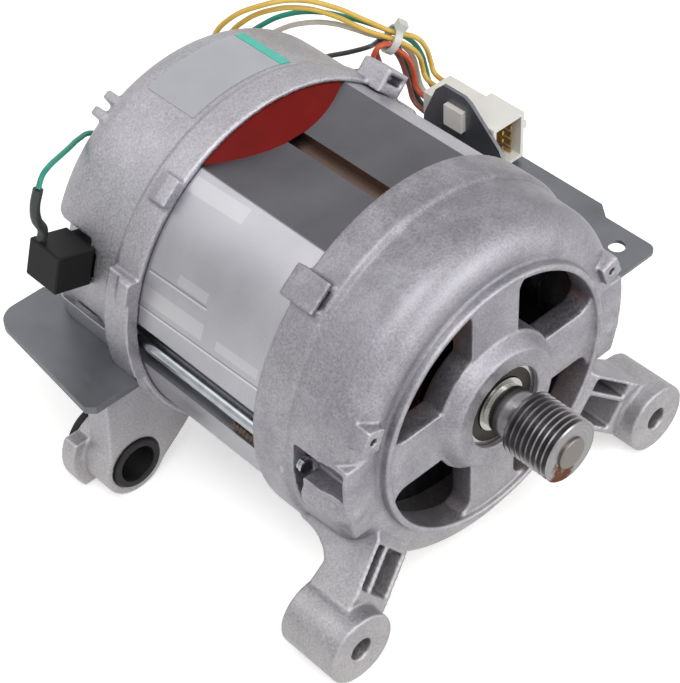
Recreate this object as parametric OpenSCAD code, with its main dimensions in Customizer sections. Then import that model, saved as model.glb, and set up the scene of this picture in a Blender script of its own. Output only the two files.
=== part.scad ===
// Universal motor of a washing machine, lying on its four mounting lugs.
// +Y runs along the shaft from the pulley to the rear and +Z points up.
// The origin is on the shaft's axis, in the middle of the pulley's belt band.

/* [Pulley and bearings] */
// Grooves for the ribbed belt
rib_count = 8; // [6:1:9]
// Pitch of the belt's ribs
rib_pitch = 2.34; // [2.3:0.01:2.4]
// Outside diameter of the pulley
pulley_d = 24; // [22:0.5:26]
// Shaft diameter inside the pulley
nose_d = 12; // [10:0.5:13]
// Bore of the front ball bearing
front_bore_d = 15; // [14:0.5:16]
// Bore of the rear ball bearing
rear_bore_d = 12; // [10:0.5:13]

/* [Body] */
// Diameter of the lamination stack
stack_d = 137; // [135:0.5:138]
// Length of the lamination stack
stack_l = 86; // [80:1:92]
// Depth of the stack's upper and lower flats below its round outside
flat_depth = 8.5; // [7.5:0.25:9.5]
// Distance from the belt's middle to the ring on the front face
face_y = 23; // [22:0.5:26]
// Diameter of the armature
armature_d = 76; // [72:1:78]
// Width of the four front spokes
spoke_w = 22; // [18:1:24]

/* [Lugs] */
// Distance between the left and right lugs
lug_span = 152; // [150:1:156]
// Depth of the lugs below the shaft
lug_drop = 57; // [56.5:0.5:58]
// Diameter of a lug
lug_d = 28; // [27.5:0.5:29]
// Bolt hole in a front lug
lug_hole_d = 9; // [8:0.5:10]
// Bore of a rear lug's rubber bush
bush_bore_d = 15; // [12:0.5:16]

/* [Electrics] */
// Angle of the brushes about the shaft
brush_angle = 163; // [160:1:166]
// Length of the connector
connector_l = 37; // [35:1:39]
// Thickness of the connector's sheet plate
sheet_t = 1.5; // [1.2:0.1:2]
// Thickness of the plate at the rear lug
side_plate_t = 3.2; // [2.5:0.1:4]

/* [Hidden] */
$fn = 64;

// Clearances
rim_gap = 0.1;
slide_gap = 0.15;
ball_gap = 0.05;
brush_gap = 0.05;
skin_gap = 0.05;
cut = 1;

// Stations along the shaft
belt_w = rib_count * rib_pitch;
pulley_y0 = -belt_w / 2 - 0.2;
pulley_y1 = belt_w / 2 + 0.9;
shaft_y0 = pulley_y0 - 1.1;
hub_y = face_y - 3.3;
spoke_y = face_y + 2.1;
spoke_t = 9.5;
shoulder_y = face_y + 4;
step_y = face_y + 31;
stack_y0 = face_y + 34;
front_rim_y = stack_y0 + 12;
stack_y1 = stack_y0 + stack_l;
rear_rim_y = stack_y1 - 11;
rear_band_y = stack_y1 + 2;
rear_back_y = stack_y1 + 45;

// Radii of the end shields
stack_r = stack_d / 2;
flat_z = stack_r - flat_depth;
seat_r = stack_r + rim_gap;
rim_r = seat_r + 2.5;
drum_r = rim_r - 2.5;
rear_drum_r = rim_r - 1.1;
ring_r1 = stack_r - 15.7;
ring_r0 = ring_r1 - 2.5;
hub_r = 24;
hub_flare_r = 27;
shoulder_r = 12.5;
shield_wall = 3.6;
rear_corner_r = 15;

// Bearings: bore radius, outer radius, width and first station of each
race_h = 10;
front_r = front_bore_d / 2;
front_od_r = front_r + race_h;
front_bearing_w = 11;
front_bearing_y = hub_y + 2.3;
rear_r = rear_bore_d / 2;
rear_od_r = rear_r + race_h;
rear_bearing_w = 10;
rear_bearing_y = rear_back_y - 13;
ball_r = 3;
ball_count = 8;
ring_t = 2.9;
dust_t = 0.5;

// Rotor
nose_r = nose_d / 2;
pulley_r = pulley_d / 2;
collar_r = front_r + 1.5;
core_bore_r = front_r + 0.5;
armature_r = armature_d / 2;
armature_y0 = stack_y0 + 3;
armature_y1 = stack_y1 - 6;
slot_count = 24;
sleeve_r = 13.5;
winding_y1 = armature_y1 + 10;
commutator_r = 17;
commutator_hub_r = 12;
commutator_y0 = winding_y1 + 6;
commutator_y1 = commutator_y0 + 20.5;
tail_r = 4;
tail_y1 = rear_back_y + 11;
tacho_y0 = rear_back_y + 3;
tacho_magnet_r = 11;
tacho_coil_r0 = 13;
tacho_coil_r1 = 18;
tacho_coil_l = 6;
tacho_wall = 2;
tacho_cap_y1 = rear_back_y + 14;
pole_gap = 0.8;

// Brush gear
brush_y = commutator_y0 + 12;
brush_t = 5;
brush_w = 12.5;
brush_l = 24;
brush_travel = 6;
holder_t = 10;
holder_w = 17;
holder_r0 = 21;
holder_r1 = rear_drum_r - 1;
spring_r1 = holder_r1 - 9;
spring_coil_r = 1.9;
spring_wire_r = 0.35;
spring_turns = 8;
cover_r0 = rear_drum_r - 10;
cover_r1 = rear_drum_r + 16;
cover_w = 17;
cover_t = 15;
notch_y = brush_y - 5;

// Lugs
lug_x = lug_span / 2;
lug_r = lug_d / 2;
rest_z = -lug_drop - lug_r;
front_lug_y0 = face_y - 10.2;
front_lug_y1 = front_lug_y0 + 26;
rear_lug_y0 = rear_rim_y + 2;
rear_lug_y1 = rear_lug_y0 + 21;
bush_r = 10.5;
bush_flange_r = 14;
ear_x = drum_r - 11.6;
ear_z = 22.5;
ear_hole_r = 1.5;

// Bolts, and the recess in the front shield where their tips come out
bolt_r = 3;
bolt_x = stack_r - 4;
bolt_z = -2;
bolt_y0 = stack_y0 - 8;
recess_x = bolt_x - 4;
recess_y0 = shoulder_y + 2;
recess_y1 = bolt_y0 + 2;
recess_z0 = bolt_z - 1;
recess_z1 = bolt_z + 12;
slit_y0 = bolt_y0 - 2;
slit_z0 = bolt_z - 18;
bolt_head_r = 4.6;
stud_r = 1.6;
stud_x = bolt_x + 1.8;
stud_z = bolt_z - bolt_r - stud_r - 0.1;
groove_x = bolt_x - 4;
groove_z0 = stud_z - stud_r - slide_gap;
groove_z1 = bolt_z + 12;

// Plates and connector
side_plate_z = -14.5;
side_plate_x = -94;
side_plate_l = 64;
sheet_z = 3;
sheet_x0 = rim_r + 1.9;
sheet_x1 = sheet_x0 + 26.5;
sheet_y0 = face_y + 11;
sheet_y1 = stack_y1 + 3;
tab_x = sheet_x0 + 7;
tab_y = stack_y1 - 19;
tab_z = 35;
pad_h = 8;
connector_x0 = tab_x + sheet_t;
connector_x1 = connector_x0 + 16.5;
connector_y1 = stack_y1 - 2;
connector_y0 = connector_y1 - connector_l;
connector_z0 = sheet_z + 2;
connector_z1 = connector_z0 + 21;
connector_mid_x = (connector_x0 + connector_x1) / 2;
cavity_xs = [for (i = [-1 : 1]) connector_mid_x + 4.5 * i];
cavity_zs = [for (i = [0 : 4]) connector_z0 + 3 + 3.6 * i];
cavity_r = 1.6;
screw_r = 2;
screw_head_r = 3.6;
plate_screw_x = sheet_x0 + 5;
plate_screw_ys = [sheet_y0 + 16, rear_rim_y + 7];
side_screw_x = -lug_x;
side_screw_y = rear_lug_y0 + 6;

// Colours
cast = [0.66, 0.66, 0.68];
steel = [0.72, 0.73, 0.75];
lamination = [0.55, 0.56, 0.58];
zinc = [0.78, 0.8, 0.8];
copper = [0.72, 0.4, 0.22];
black = [0.08, 0.08, 0.09];
sheet_grey = [0.42, 0.45, 0.48];
cream = [0.9, 0.9, 0.87];

// Swaps the local Y and Z axes, so that heights run along the shaft
module along_y(y = 0) {
    translate([0, y, 0])
        rotate([90, 0, 0])
            mirror([0, 0, 1])
                children();
}

// Turns a half profile (radius, station) about the shaft
module turned() {
    along_y()
        rotate_extrude($fn = 96)
            children();
}

// A plain ring or disc about an axis parallel to the shaft
module round_y(y0, y1, r, x = 0, z = 0) {
    along_y(y0)
        translate([x, z, 0])
            cylinder(h = y1 - y0, r = r);
}

// A ring about the shaft
module ring(y0, y1, r0, r1) {
    turned()
        translate([r0, y0])
            square([r1 - r0, y1 - y0]);
}

// A flat wedge from the centre between two angles less than 180 degrees apart
module wedge_2d(a0, a1, r) {
    am = (a0 + a1) / 2;
    k = r / cos((a1 - a0) / 4);
    polygon([[0, 0], r * [cos(a0), sin(a0)], k * [cos((a0 + am) / 2), sin((a0 + am) / 2)],
        r * [cos(am), sin(am)], k * [cos((a1 + am) / 2), sin((a1 + am) / 2)], r * [cos(a1), sin(a1)]]);
}

// A sector of a ring about the shaft between two angles
module ring_sector(y0, y1, r0, r1, a0, a1) {
    along_y(y0)
        linear_extrude(y1 - y0)
            intersection() {
                difference() {
                    circle(r1, $fn = 128);
                    circle(r0, $fn = 128);
                }
                wedge_2d(a0, a1, 2 * r1);
            }
}

// A flat outline in X and Z, drawn out along the shaft
module plate_y(y0, y1, points) {
    along_y(y0)
        linear_extrude(y1 - y0)
            polygon(points);
}

// Both sides of the motor
module both() {
    children();
    mirror([1, 0, 0])
        children();
}

// Front end shield

// One of the four windows between the spokes, in the first quadrant, with rounded corners
module window_2d() {
    e = spoke_w / 2;
    f = 5;
    far = ring_r0 - f;
    p = sqrt(far * far - (e + f) * (e + f));
    steps = 6;
    turn = (180 - atan2(p, e + f)) / steps;
    arc = [for (i = [0 : steps]) [e + f, p] + f * [cos(180 - turn * i), sin(180 - turn * i)]];
    past = 1.5 * arc[steps] - 0.5 * arc[steps - 1];
    side = concat([for (i = [0 : steps - 1]) arc[i]], [past]);
    intersection() {
        difference() {
            circle(ring_r0, $fn = 128);
            circle(hub_flare_r + 0.5, $fn = 96);
        }
        polygon(concat([[e, e]], side, [[ring_r0, ring_r0]],
            [for (i = [len(side) - 1 : -1 : 0]) [side[i].y, side[i].x]]));
    }
}

// Outside of the front shield: hub, ring, round shoulder, cup and rim band
module front_outline_2d() {
    difference() {
        union() {
            translate([0, face_y])
                square([ring_r1, 6]);
            translate([0, shoulder_y])
                square([drum_r - shoulder_r, shoulder_r + 1]);
            translate([drum_r - shoulder_r, shoulder_y + shoulder_r])
                circle(shoulder_r);
            polygon([[0, shoulder_y + shoulder_r], [drum_r, shoulder_y + shoulder_r],
                [drum_r + 0.6, step_y - 0.5], [rim_r - 0.4, step_y + 0.8], [rim_r, step_y + 1.6],
                [rim_r, front_rim_y - 0.5], [rim_r - 0.5, front_rim_y], [0, front_rim_y]]);
        }
        translate([0, face_y - cut])
            square([ring_r0, spoke_y - face_y + cut]);
    }
    polygon([[0, hub_y], [hub_r - 1.2, hub_y], [hub_r, hub_y + 1.2], [hub_flare_r, spoke_y + 0.2],
        [hub_flare_r, spoke_y + 2], [0, spoke_y + 2]]);
}

// Inside of the front shield, down to the seat of the stack
module front_cavity_2d() {
    inner = drum_r - shield_wall;
    hub_back = front_bearing_y + front_bearing_w + 1.5;
    polygon([[hub_r - 2, spoke_y + spoke_t], [inner - 9, spoke_y + spoke_t], [inner, spoke_y + spoke_t + 8],
        [inner, stack_y0], [seat_r, stack_y0], [seat_r, front_rim_y + cut], [0, front_rim_y + cut],
        [0, hub_back], [hub_r - 3, hub_back]]);
}

// Arm from the cup to a front lug, with two channels open to the front and a fillet behind it
module front_lug() {
    reach = norm([lug_x, lug_drop]) - rim_r;
    arm_w = 22;
    arm_y0 = front_lug_y0 + 7;
    channel_u0 = lug_r + 3;
    channel_u1 = reach + 9;
    channel_l = 15;
    translate([lug_x, 0, -lug_drop])
        rotate([0, atan2(lug_drop, lug_x) - 180, 0])
            difference() {
                translate([0, 0, -arm_w / 2])
                    linear_extrude(arm_w)
                        polygon([[lug_r - 6, arm_y0], [lug_r, arm_y0], [reach + 10, face_y + 2],
                            [reach + 14, face_y + 5], [reach + 19, front_lug_y1], [reach + 16, step_y + 2],
                            [reach, step_y + 2], [reach - 0.4, step_y - 4], [reach - 1.5, step_y - 8],
                            [reach - 3.6, step_y - 12], [reach - 6.4, front_lug_y1],
                            [lug_r - 6, front_lug_y1]]);
                translate([channel_u0, arm_y0 - cut, 1.5 - arm_w / 2])
                    cube([channel_u1 - channel_u0, channel_l + cut, 5]);
                translate([channel_u0, arm_y0 - cut, 8.5 - arm_w / 2])
                    cube([channel_u1 - channel_u0, channel_l + cut, 11]);
            }
    round_y(front_lug_y0, front_lug_y1, lug_r, lug_x, -lug_drop);
}

// Round swelling on the cup between the recess and each front lug, with a domed nose
module swelling(r) {
    nose_y = shoulder_y - 1;
    along_y()
        translate([drum_r - 6.1, recess_z0 - r, 0])
            rotate_extrude()
                polygon([[0, nose_y], [0.5 * r, nose_y + 0.14 * r], [0.86 * r, nose_y + 0.5 * r],
                    [r, nose_y + r], [r, slit_y0], [0, slit_y0]]);
}

// Raised clamp ear across the joint of shield and stack, with a pocket in its front face
module clamp_ear(y0, y1, angle, r0, r1, w, pocket) {
    rotate([0, -angle, 0])
        difference() {
            translate([r0, y0, -w / 2])
                cube([r1 - r0, y1 - y0, w]);
            translate([r1 - 5.2, y0 - cut, -w / 2 + 2.2])
                cube([3.2, pocket + cut, w - 4.4]);
        }
}

module front_shield() {
    recess_wall = 3.5;
    color(cast)
        difference() {
            union() {
                difference() {
                    union() {
                        turned()
                            front_outline_2d();
                        both()
                            front_lug();
                        both()
                            swelling(7.5);
                        both()
                            rotate([0, -atan2(ear_z, ear_x), 0])
                                translate([norm([ear_x, ear_z]) - 4, face_y + 1, -4.5])
                                    cube([8, 13, 9]);
                        clamp_ear(step_y + 3, front_rim_y + 3.5, 130, stack_r + 0.3, rim_r + 3.4, 12, 7);
                        translate([drum_r - 6, sheet_y0 + 8, sheet_z - sheet_t - pad_h])
                            cube([18, 16, pad_h]);
                    }
                    turned()
                        front_cavity_2d();
                }
                both()
                    intersection() {
                        translate([recess_x - recess_wall, recess_y0 - 2, slit_z0 - 2])
                            cube([15, stack_y0 - recess_y0 + 2, recess_z1 - slit_z0 + 4]);
                        turned()
                            translate([0, spoke_y + 2])
                                square([drum_r - 1, stack_y0 - spoke_y]);
                    }
            }
            both() {
                translate([recess_x, recess_y0, recess_z0])
                    cube([20, recess_y1 - recess_y0, recess_z1 - recess_z0]);
                translate([recess_x, slit_y0, slit_z0])
                    cube([20, recess_y1 - slit_y0, recess_z1 - slit_z0]);
            }
            turned()
                translate([0, hub_y - cut])
                    square([front_od_r - 1.5, front_bearing_w + 8]);
            turned()
                translate([0, front_bearing_y])
                    square([front_od_r, front_bearing_w + 3]);
            along_y(face_y - 4)
                linear_extrude(spoke_t + 8)
                    for (a = [0 : 90 : 270])
                        rotate(a)
                            window_2d();
            both()
                round_y(front_lug_y0 - cut, front_lug_y1 + cut, lug_hole_d / 2, lug_x, -lug_drop);
            both()
                round_y(recess_y1 - cut, stack_y0 + cut, bolt_r, bolt_x, bolt_z);
            both()
                round_y(face_y, face_y + 9, ear_hole_r, ear_x, ear_z);
            translate([-40, step_y - cut, rest_z - 10])
                cube([80, front_rim_y - step_y + 2 * cut, 10.9]);
            translate([plate_screw_x, plate_screw_ys[0], sheet_z - sheet_t - pad_h - cut])
                cylinder(h = pad_h + 2 * cut, r = screw_r + slide_gap);
        }
}

// Rear end shield

// Outside of the rear shield: rim band, drum with a round corner, and a low boss on the back
module rear_outline_2d(gap = 0) {
    rim = rim_r - 0.2 + gap;
    drum = rear_drum_r + gap;
    corner_y = rear_back_y - rear_corner_r;
    polygon([[0, rear_rim_y], [rim - 0.6, rear_rim_y], [rim, rear_rim_y + 0.6], [rim, rear_band_y - 0.5],
        [drum, rear_band_y], [drum, corner_y], [0, corner_y]]);
    translate([rear_drum_r - rear_corner_r, corner_y])
        circle(rear_corner_r + gap);
    translate([0, corner_y - 1])
        square([rear_drum_r - rear_corner_r, rear_corner_r + 1 + gap]);
    translate([0, rear_back_y - 1])
        square([hub_r - 1, 3]);
}

module rear_cavity_2d() {
    inner = rear_drum_r - 4;
    polygon([[0, rear_rim_y - cut], [seat_r, rear_rim_y - cut], [seat_r, stack_y1], [inner, stack_y1],
        [inner, rear_back_y - rear_corner_r - 1], [inner - 12, rear_back_y - 4], [hub_r - 2, rear_back_y - 4],
        [hub_r - 2, rear_bearing_y], [0, rear_bearing_y]]);
}

// Arm from the drum to a rear lug, level on top
module rear_lug() {
    shelf_z = side_plate_z - side_plate_t;
    plate_y(rear_lug_y0, rear_lug_y0 + 12, [[lug_x + 11, 8 - lug_drop], [lug_x + 9, shelf_z],
        [rear_drum_r - 8, shelf_z], [rear_drum_r - 22, 7 - lug_drop], [lug_x - 24, 3 - lug_drop], [lug_x - 11, -8 - lug_drop]]);
    round_y(rear_lug_y0, rear_lug_y1, lug_r, lug_x, -lug_drop);
    intersection() {
        round_y(rear_lug_y1 - 7, rear_lug_y1, lug_r + 5, lug_x, -lug_drop);
        translate([lug_x + 6, 0, -lug_drop - 12])
            cube([20, rear_back_y, 22]);
    }
}

// Ear on the rear rim, flush with its front edge and sloping down to the drum
module rim_ear(angle, r1, w) {
    r0 = stack_r + 0.3;
    rotate([0, -angle, 0])
        translate([0, rear_rim_y, -w / 2])
            linear_extrude(w)
                polygon([[r0, 0], [r1, 0], [r1, 5], [rim_r - 0.5, 11], [r0, 11]]);
}

module rear_shield() {
    foot_a0 = 157;
    foot_a1 = 193;
    color(cast)
        difference() {
            union() {
                turned()
                    rear_outline_2d();
                both()
                    rear_lug();
                both()
                    ring_sector(rear_rim_y, rear_band_y, stack_r - 2, rim_r + 2.8, foot_a0, foot_a1);
                rim_ear(130, rim_r + 2.6, 11);
                rim_ear(161, rim_r + 4.4, 9);
                clamp_ear(rear_rim_y - 7, rear_rim_y + 6, 46, stack_r + 0.3, rim_r + 7, 13, 6);
                for (a = [117, 123])
                    rotate([0, -a, 0])
                        translate([rear_drum_r - 15, rear_back_y - 10, -1.8])
                            cube([14, 9, 3.6]);
                translate([rear_drum_r - 6, rear_rim_y + 1, sheet_z - sheet_t - pad_h])
                    cube([18, 12, pad_h]);
            }
            turned()
                rear_cavity_2d();
            turned()
                translate([0, rear_bearing_y - cut])
                    square([rear_od_r, rear_bearing_w + cut]);
            turned()
                translate([0, rear_bearing_y])
                    square([rear_r + 3, 30]);
            for (a = [0 : 60 : 300])
                ring_sector(rear_back_y - 10, rear_back_y + 5, hub_r + 4, rear_drum_r - 18, a - 21, a + 21);
            both()
                round_y(rear_lug_y0 - cut, rear_lug_y1 + cut, bush_r + rim_gap, lug_x, -lug_drop);
            both()
                round_y(stack_y1 - cut, rear_back_y + cut, bolt_r + 0.2, bolt_x, bolt_z);
            both()
                round_y(stack_y1 + 8, rear_back_y + cut, bolt_head_r + 1, bolt_x, bolt_z);
            for (a = [brush_angle, brush_angle + 180])
                rotate([0, -a, 0]) {
                    translate([0, brush_y, 0])
                        box_r(rear_drum_r - 12, cover_r1, holder_w + 2 * slide_gap, holder_t + 2 * slide_gap);
                    translate([rear_drum_r - 14, notch_y, -cover_t / 2 - 1.5])
                        cube([cover_r1, rear_back_y - notch_y + cut, cover_t + 3]);
                }
            translate([-40, rear_rim_y - cut, rest_z - 10])
                cube([80, rear_band_y - rear_rim_y + 2 * cut, 10.9]);
            translate([plate_screw_x, plate_screw_ys[1], sheet_z - sheet_t - pad_h - cut])
                cylinder(h = pad_h + 2 * cut, r = screw_r + slide_gap);
            translate([side_screw_x, side_screw_y, side_plate_z - side_plate_t - 6])
                cylinder(h = 6 + side_plate_t, r = screw_r);
        }
}

// Lamination stack: round with two flats, bolt grooves, coil slots and a bore for the armature
module stator_core() {
    slot_r0 = armature_r + 4;
    slot_r1 = stack_r - 12;
    color(lamination)
        along_y(stack_y0)
            linear_extrude(stack_l)
                difference() {
                    intersection() {
                        circle(stack_r, $fn = 160);
                        square([2 * stack_r + cut, 2 * flat_z], center = true);
                    }
                    circle(armature_r + pole_gap, $fn = 128);
                    for (a = [0, 180]) {
                        intersection() {
                            difference() {
                                circle(slot_r1, $fn = 128);
                                circle(slot_r0, $fn = 128);
                            }
                            rotate(a)
                                wedge_2d(-42, 42, 2 * stack_r);
                        }
                        intersection() {
                            circle(slot_r0 + cut, $fn = 128);
                            rotate(a)
                                wedge_2d(-24, 24, 2 * stack_r);
                        }
                    }
                    for (s = [0, 1])
                        mirror([s, 0])
                            translate([groove_x, groove_z0])
                                square([20, groove_z1 - groove_z0]);
                    for (s = [-1, 1])
                        translate([-3.7, s * flat_z - 3.5])
                            square([7.4, 7]);
                }
}

// Field windings: taped coils that lie in the stack's slots and cross over at each end
coil_r0 = armature_r + 6;
coil_r1 = stack_r - 13;
coil_a0 = 12;
coil_a1 = 38;
front_head_l = 10;
rear_head_l = 5.5;
head_gap = 0.3;

module field_coil_top() {
    color(black) {
        for (a = [coil_a0, 180 - coil_a1])
            ring_sector(stack_y0 - cut, stack_y1 + cut, coil_r0, coil_r1, a, a + coil_a1 - coil_a0);
        ring_sector(stack_y0 - front_head_l, stack_y0 - head_gap, coil_r0, coil_r1, coil_a0, 180 - coil_a0);
        ring_sector(stack_y1 + head_gap, stack_y1 + rear_head_l, coil_r0, coil_r1, coil_a0, 180 - coil_a0);
    }
}

module field_coil_bottom() {
    mirror([0, 0, 1])
        field_coil_top();
}

// Sweeps a round tube along a list of points, with flat ends
function unit(v) = v / norm(v);
function tangent(path, i) = unit(path[min(i + 1, len(path) - 1)] - path[max(i - 1, 0)]);
function square_to(v, t) = unit(v - (v * t) * t);
function side_dirs(path, start) = [
    for (i = 0, n = square_to(start, tangent(path, 0)); i < len(path);
        i = i + 1, n = square_to(n, tangent(path, min(i, len(path) - 1)))) n];
module tube(path, r, sides, start = [0.1, 0.2, 1]) {
    dirs = side_dirs(path, start);
    count = len(path);
    points = [for (i = [0 : count - 1])
        let (t = tangent(path, i), n = dirs[i], b = cross(t, n))
        for (k = [0 : sides - 1]) path[i] + r * (cos(360 * k / sides) * n + sin(360 * k / sides) * b)];
    faces = concat(
        [[for (k = [sides - 1 : -1 : 0]) k]],
        [for (i = [0 : count - 2]) for (k = [0 : sides - 1])
            let (m = (k + 1) % sides)
            [i * sides + k, i * sides + m, (i + 1) * sides + m, (i + 1) * sides + k]],
        [[for (k = [0 : sides - 1]) (count - 1) * sides + k]]);
    polyhedron(points, [for (f = faces) [for (k = [len(f) - 1 : -1 : 0]) f[k]]], convexity = 10);
}

// Red caps: slices of a cone that close the gaps between the flats and the rear rim
module insulation_caps() {
    cap_l = 11;
    cap_r = seat_r - head_gap;
    cap_y1 = stack_y1 - head_gap;
    color([0.72, 0.14, 0.11])
        for (s = [0, 1])
            mirror([0, 0, s])
                intersection() {
                    turned()
                        polygon([[flat_z - 1, rear_rim_y - cap_l], [flat_z + 0.2, rear_rim_y - cap_l],
                            [cap_r, rear_rim_y + 0.5], [cap_r, cap_y1], [flat_z - 1, cap_y1]]);
                    translate([-stack_r, rear_rim_y - cap_l - cut, flat_z])
                        cube([2 * stack_r, cap_y1 - rear_rim_y + cap_l + 2 * cut, stack_r]);
                }
}

// Tie bolts beside the stack: hexagon head at the rear, threaded end in the front shield
module through_bolts() {
    color(zinc)
        both() {
            round_y(bolt_y0, stack_y1 + 11, bolt_r - skin_gap, bolt_x, bolt_z);
            along_y(stack_y1 + 10)
                translate([bolt_x, bolt_z, 0])
                    cylinder(h = 4, r = bolt_head_r, $fn = 6);
        }
}

module bolt_washers() {
    color(zinc)
        both()
            difference() {
                round_y(stack_y1 + 8, stack_y1 + 10, bolt_head_r, bolt_x, bolt_z);
                round_y(stack_y1 + 7, stack_y1 + 11, bolt_r, bolt_x, bolt_z);
            }
}

// Short studs that lie under the tie bolts, at the lower edge of the stack's grooves
module groove_studs() {
    color([0.4, 0.28, 0.2])
        both()
            round_y(stack_y0, front_rim_y + 15, stud_r, stud_x, stud_z);
}

// Ribbed pulley with a collar at the back
module pulley() {
    depth = 2;
    color(steel)
        turned()
            difference() {
                polygon([[nose_r, pulley_y0], [pulley_r - 0.5, pulley_y0], [pulley_r, pulley_y0 + 0.5],
                    [pulley_r, pulley_y1 - 0.3], [pulley_r - 0.3, pulley_y1], [nose_r, pulley_y1]]);
                for (i = [0 : rib_count - 1])
                    translate([pulley_r, -belt_w / 2 + (i + 0.5) * rib_pitch])
                        polygon([[-depth, -0.15], [0.1, -0.9], [0.1, 0.9], [-depth, 0.15]]);
            }
}

module shaft() {
    color(steel)
        turned()
            polygon([[0, shaft_y0], [nose_r - 0.4, shaft_y0], [nose_r, shaft_y0 + 0.4], [nose_r, pulley_y1],
                [collar_r - 0.6, pulley_y1], [collar_r, pulley_y1 + 0.6], [collar_r, front_bearing_y - 3],
                [collar_r - 0.6, front_bearing_y], [front_r, front_bearing_y],
                [front_r, front_bearing_y + front_bearing_w],
                [core_bore_r, front_bearing_y + front_bearing_w],
                [core_bore_r, rear_bearing_y], [rear_r, rear_bearing_y],
                [rear_r, rear_bearing_y + rear_bearing_w + 1], [tail_r, rear_bearing_y + rear_bearing_w + 1],
                [tail_r, tail_y1 - 0.5], [tail_r - 0.5, tail_y1], [0, tail_y1]]);
}

// Ball bearings: grooved rings, balls in a cage, and a dust shield on each side
module outer_ring(r, y, w) {
    pitch_r = r + race_h / 2;
    color(steel)
        turned()
            difference() {
                translate([r + race_h - ring_t, y])
                    square([ring_t - skin_gap, w]);
                translate([pitch_r, y + w / 2])
                    circle(ball_r + ball_gap, $fn = 48);
            }
}

module inner_ring(r, y, w) {
    pitch_r = r + race_h / 2;
    color(steel)
        turned()
            difference() {
                translate([r, y])
                    square([ring_t, w]);
                translate([pitch_r, y + w / 2])
                    circle(ball_r + ball_gap, $fn = 48);
            }
}

module ball_cage(r, y, w) {
    pitch_r = r + race_h / 2;
    color(zinc) {
        for (i = [0 : ball_count - 1])
            rotate([0, 360 * i / ball_count, 0])
                translate([pitch_r, y + w / 2, 0])
                    sphere(ball_r, $fn = 32);
        ring(y + w / 2 - 0.8, y + w / 2 + 0.8, pitch_r - 1, pitch_r + 1);
    }
}

module dust_shields(r, y, w) {
    color(zinc)
        for (h = [y + 0.5, y + w - 0.5 - dust_t])
            ring(h, h + dust_t, r + ring_t + 0.3, r + race_h - ring_t);
}

module front_outer_ring() {
    outer_ring(front_r, front_bearing_y, front_bearing_w);
}

module front_inner_ring() {
    inner_ring(front_r, front_bearing_y, front_bearing_w);
}

module front_ball_cage() {
    ball_cage(front_r, front_bearing_y, front_bearing_w);
}

module front_dust_shields() {
    dust_shields(front_r, front_bearing_y, front_bearing_w);
}

module rear_outer_ring() {
    outer_ring(rear_r, rear_bearing_y, rear_bearing_w);
}

module rear_inner_ring() {
    inner_ring(rear_r, rear_bearing_y, rear_bearing_w);
}

module rear_ball_cage() {
    ball_cage(rear_r, rear_bearing_y, rear_bearing_w);
}

module rear_dust_shields() {
    dust_shields(rear_r, rear_bearing_y, rear_bearing_w);
}

// Armature: slotted core, winding with a head at each end, commutator on a moulded hub
slot_r1 = armature_r - 2;
slot_r0 = slot_r1 - 11;
slot_w = 4;

module armature_core() {
    color(lamination)
        along_y(armature_y0)
            linear_extrude(armature_y1 - armature_y0)
                difference() {
                    circle(armature_r, $fn = 128);
                    circle(core_bore_r);
                    for (i = [0 : slot_count - 1])
                        rotate(360 * i / slot_count) {
                            translate([slot_r0, -slot_w / 2])
                                square([slot_r1 - slot_r0, slot_w]);
                            translate([slot_r1 - cut, -1])
                                square([6, 2]);
                        }
                }
}

// The front head: 24 loops wound on a plain round core, five times round the shaft
head_loops = 24;
head_rings = 24;
head_sides = 6;
head_turns = 5;
head_wire_r = 1.1;
head_coil_r = 8.8;
head_mid_r = sleeve_r + head_coil_r + head_wire_r + 1;
head_core_r = head_coil_r - head_wire_r - head_gap;
head_y = armature_y0 - head_coil_r - head_wire_r - head_gap;
head_steps = head_loops * head_rings;

function head_point(i) =
    let (round_shaft = 360 * head_turns * i / head_steps,
        round_core = 360 * i / head_rings,
        r = head_mid_r + head_coil_r * cos(round_core))
    [r * cos(round_shaft), head_y - head_coil_r * sin(round_core), r * sin(round_shaft)];
function to_core(p) = [p.x, armature_y0 - head_gap, p.z];
head_last = head_steps - head_rings / 2;
head_path = concat([to_core(head_point(0))], [for (i = [0 : head_last]) head_point(i)],
    [to_core(head_point(head_last))]);

// Least gap between a path's wire and itself, leaving out each point's own neighbours
function to_segment(p, a, b) =
    let (d = b - a, t = max(0, min(1, (p - a) * d / (d * d))))
    norm(p - a - t * d);
function least_gap(path, near, wire_r) =
    min([for (i = [0 : len(path) - near - 2]) for (j = [i + near : len(path) - 2])
        to_segment(path[i], path[j], path[j + 1])]) - 2 * wire_r;

module armature_front_winding() {
    echo(armature_winding_gap = least_gap(head_path, head_rings / 2, head_wire_r));
    color(copper)
        tube(head_path, head_wire_r, head_sides, [1, 0, 0.1]);
}

module armature_winding() {
    gap = 0.2;
    r0 = core_bore_r + 6;
    r1 = slot_r1 - 1;
    l = winding_y1 - armature_y1;
    color(copper) {
        turned()
            translate([0, armature_y1])
                polygon([[r0, 0], [r1, 0], [r1, l - 6], [r1 - 2, l - 2.5], [r1 - 6, l], [r0 + 4, l],
                    [r0, l - 3]]);
        turned()
            translate([head_mid_r, head_y])
                circle(head_core_r);
        for (i = [0 : slot_count - 1])
            rotate([0, 360 * i / slot_count, 0])
                translate([slot_r0 + gap, armature_y0, -slot_w / 2 + gap])
                    cube([slot_r1 - slot_r0 - 2 * gap, armature_y1 - armature_y0 + cut, slot_w - 2 * gap]);
    }
}

// Moulded sleeve that keeps the front head off the shaft
module winding_sleeve() {
    color(black)
        ring(head_y - head_coil_r, armature_y0, core_bore_r, sleeve_r);
}

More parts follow.
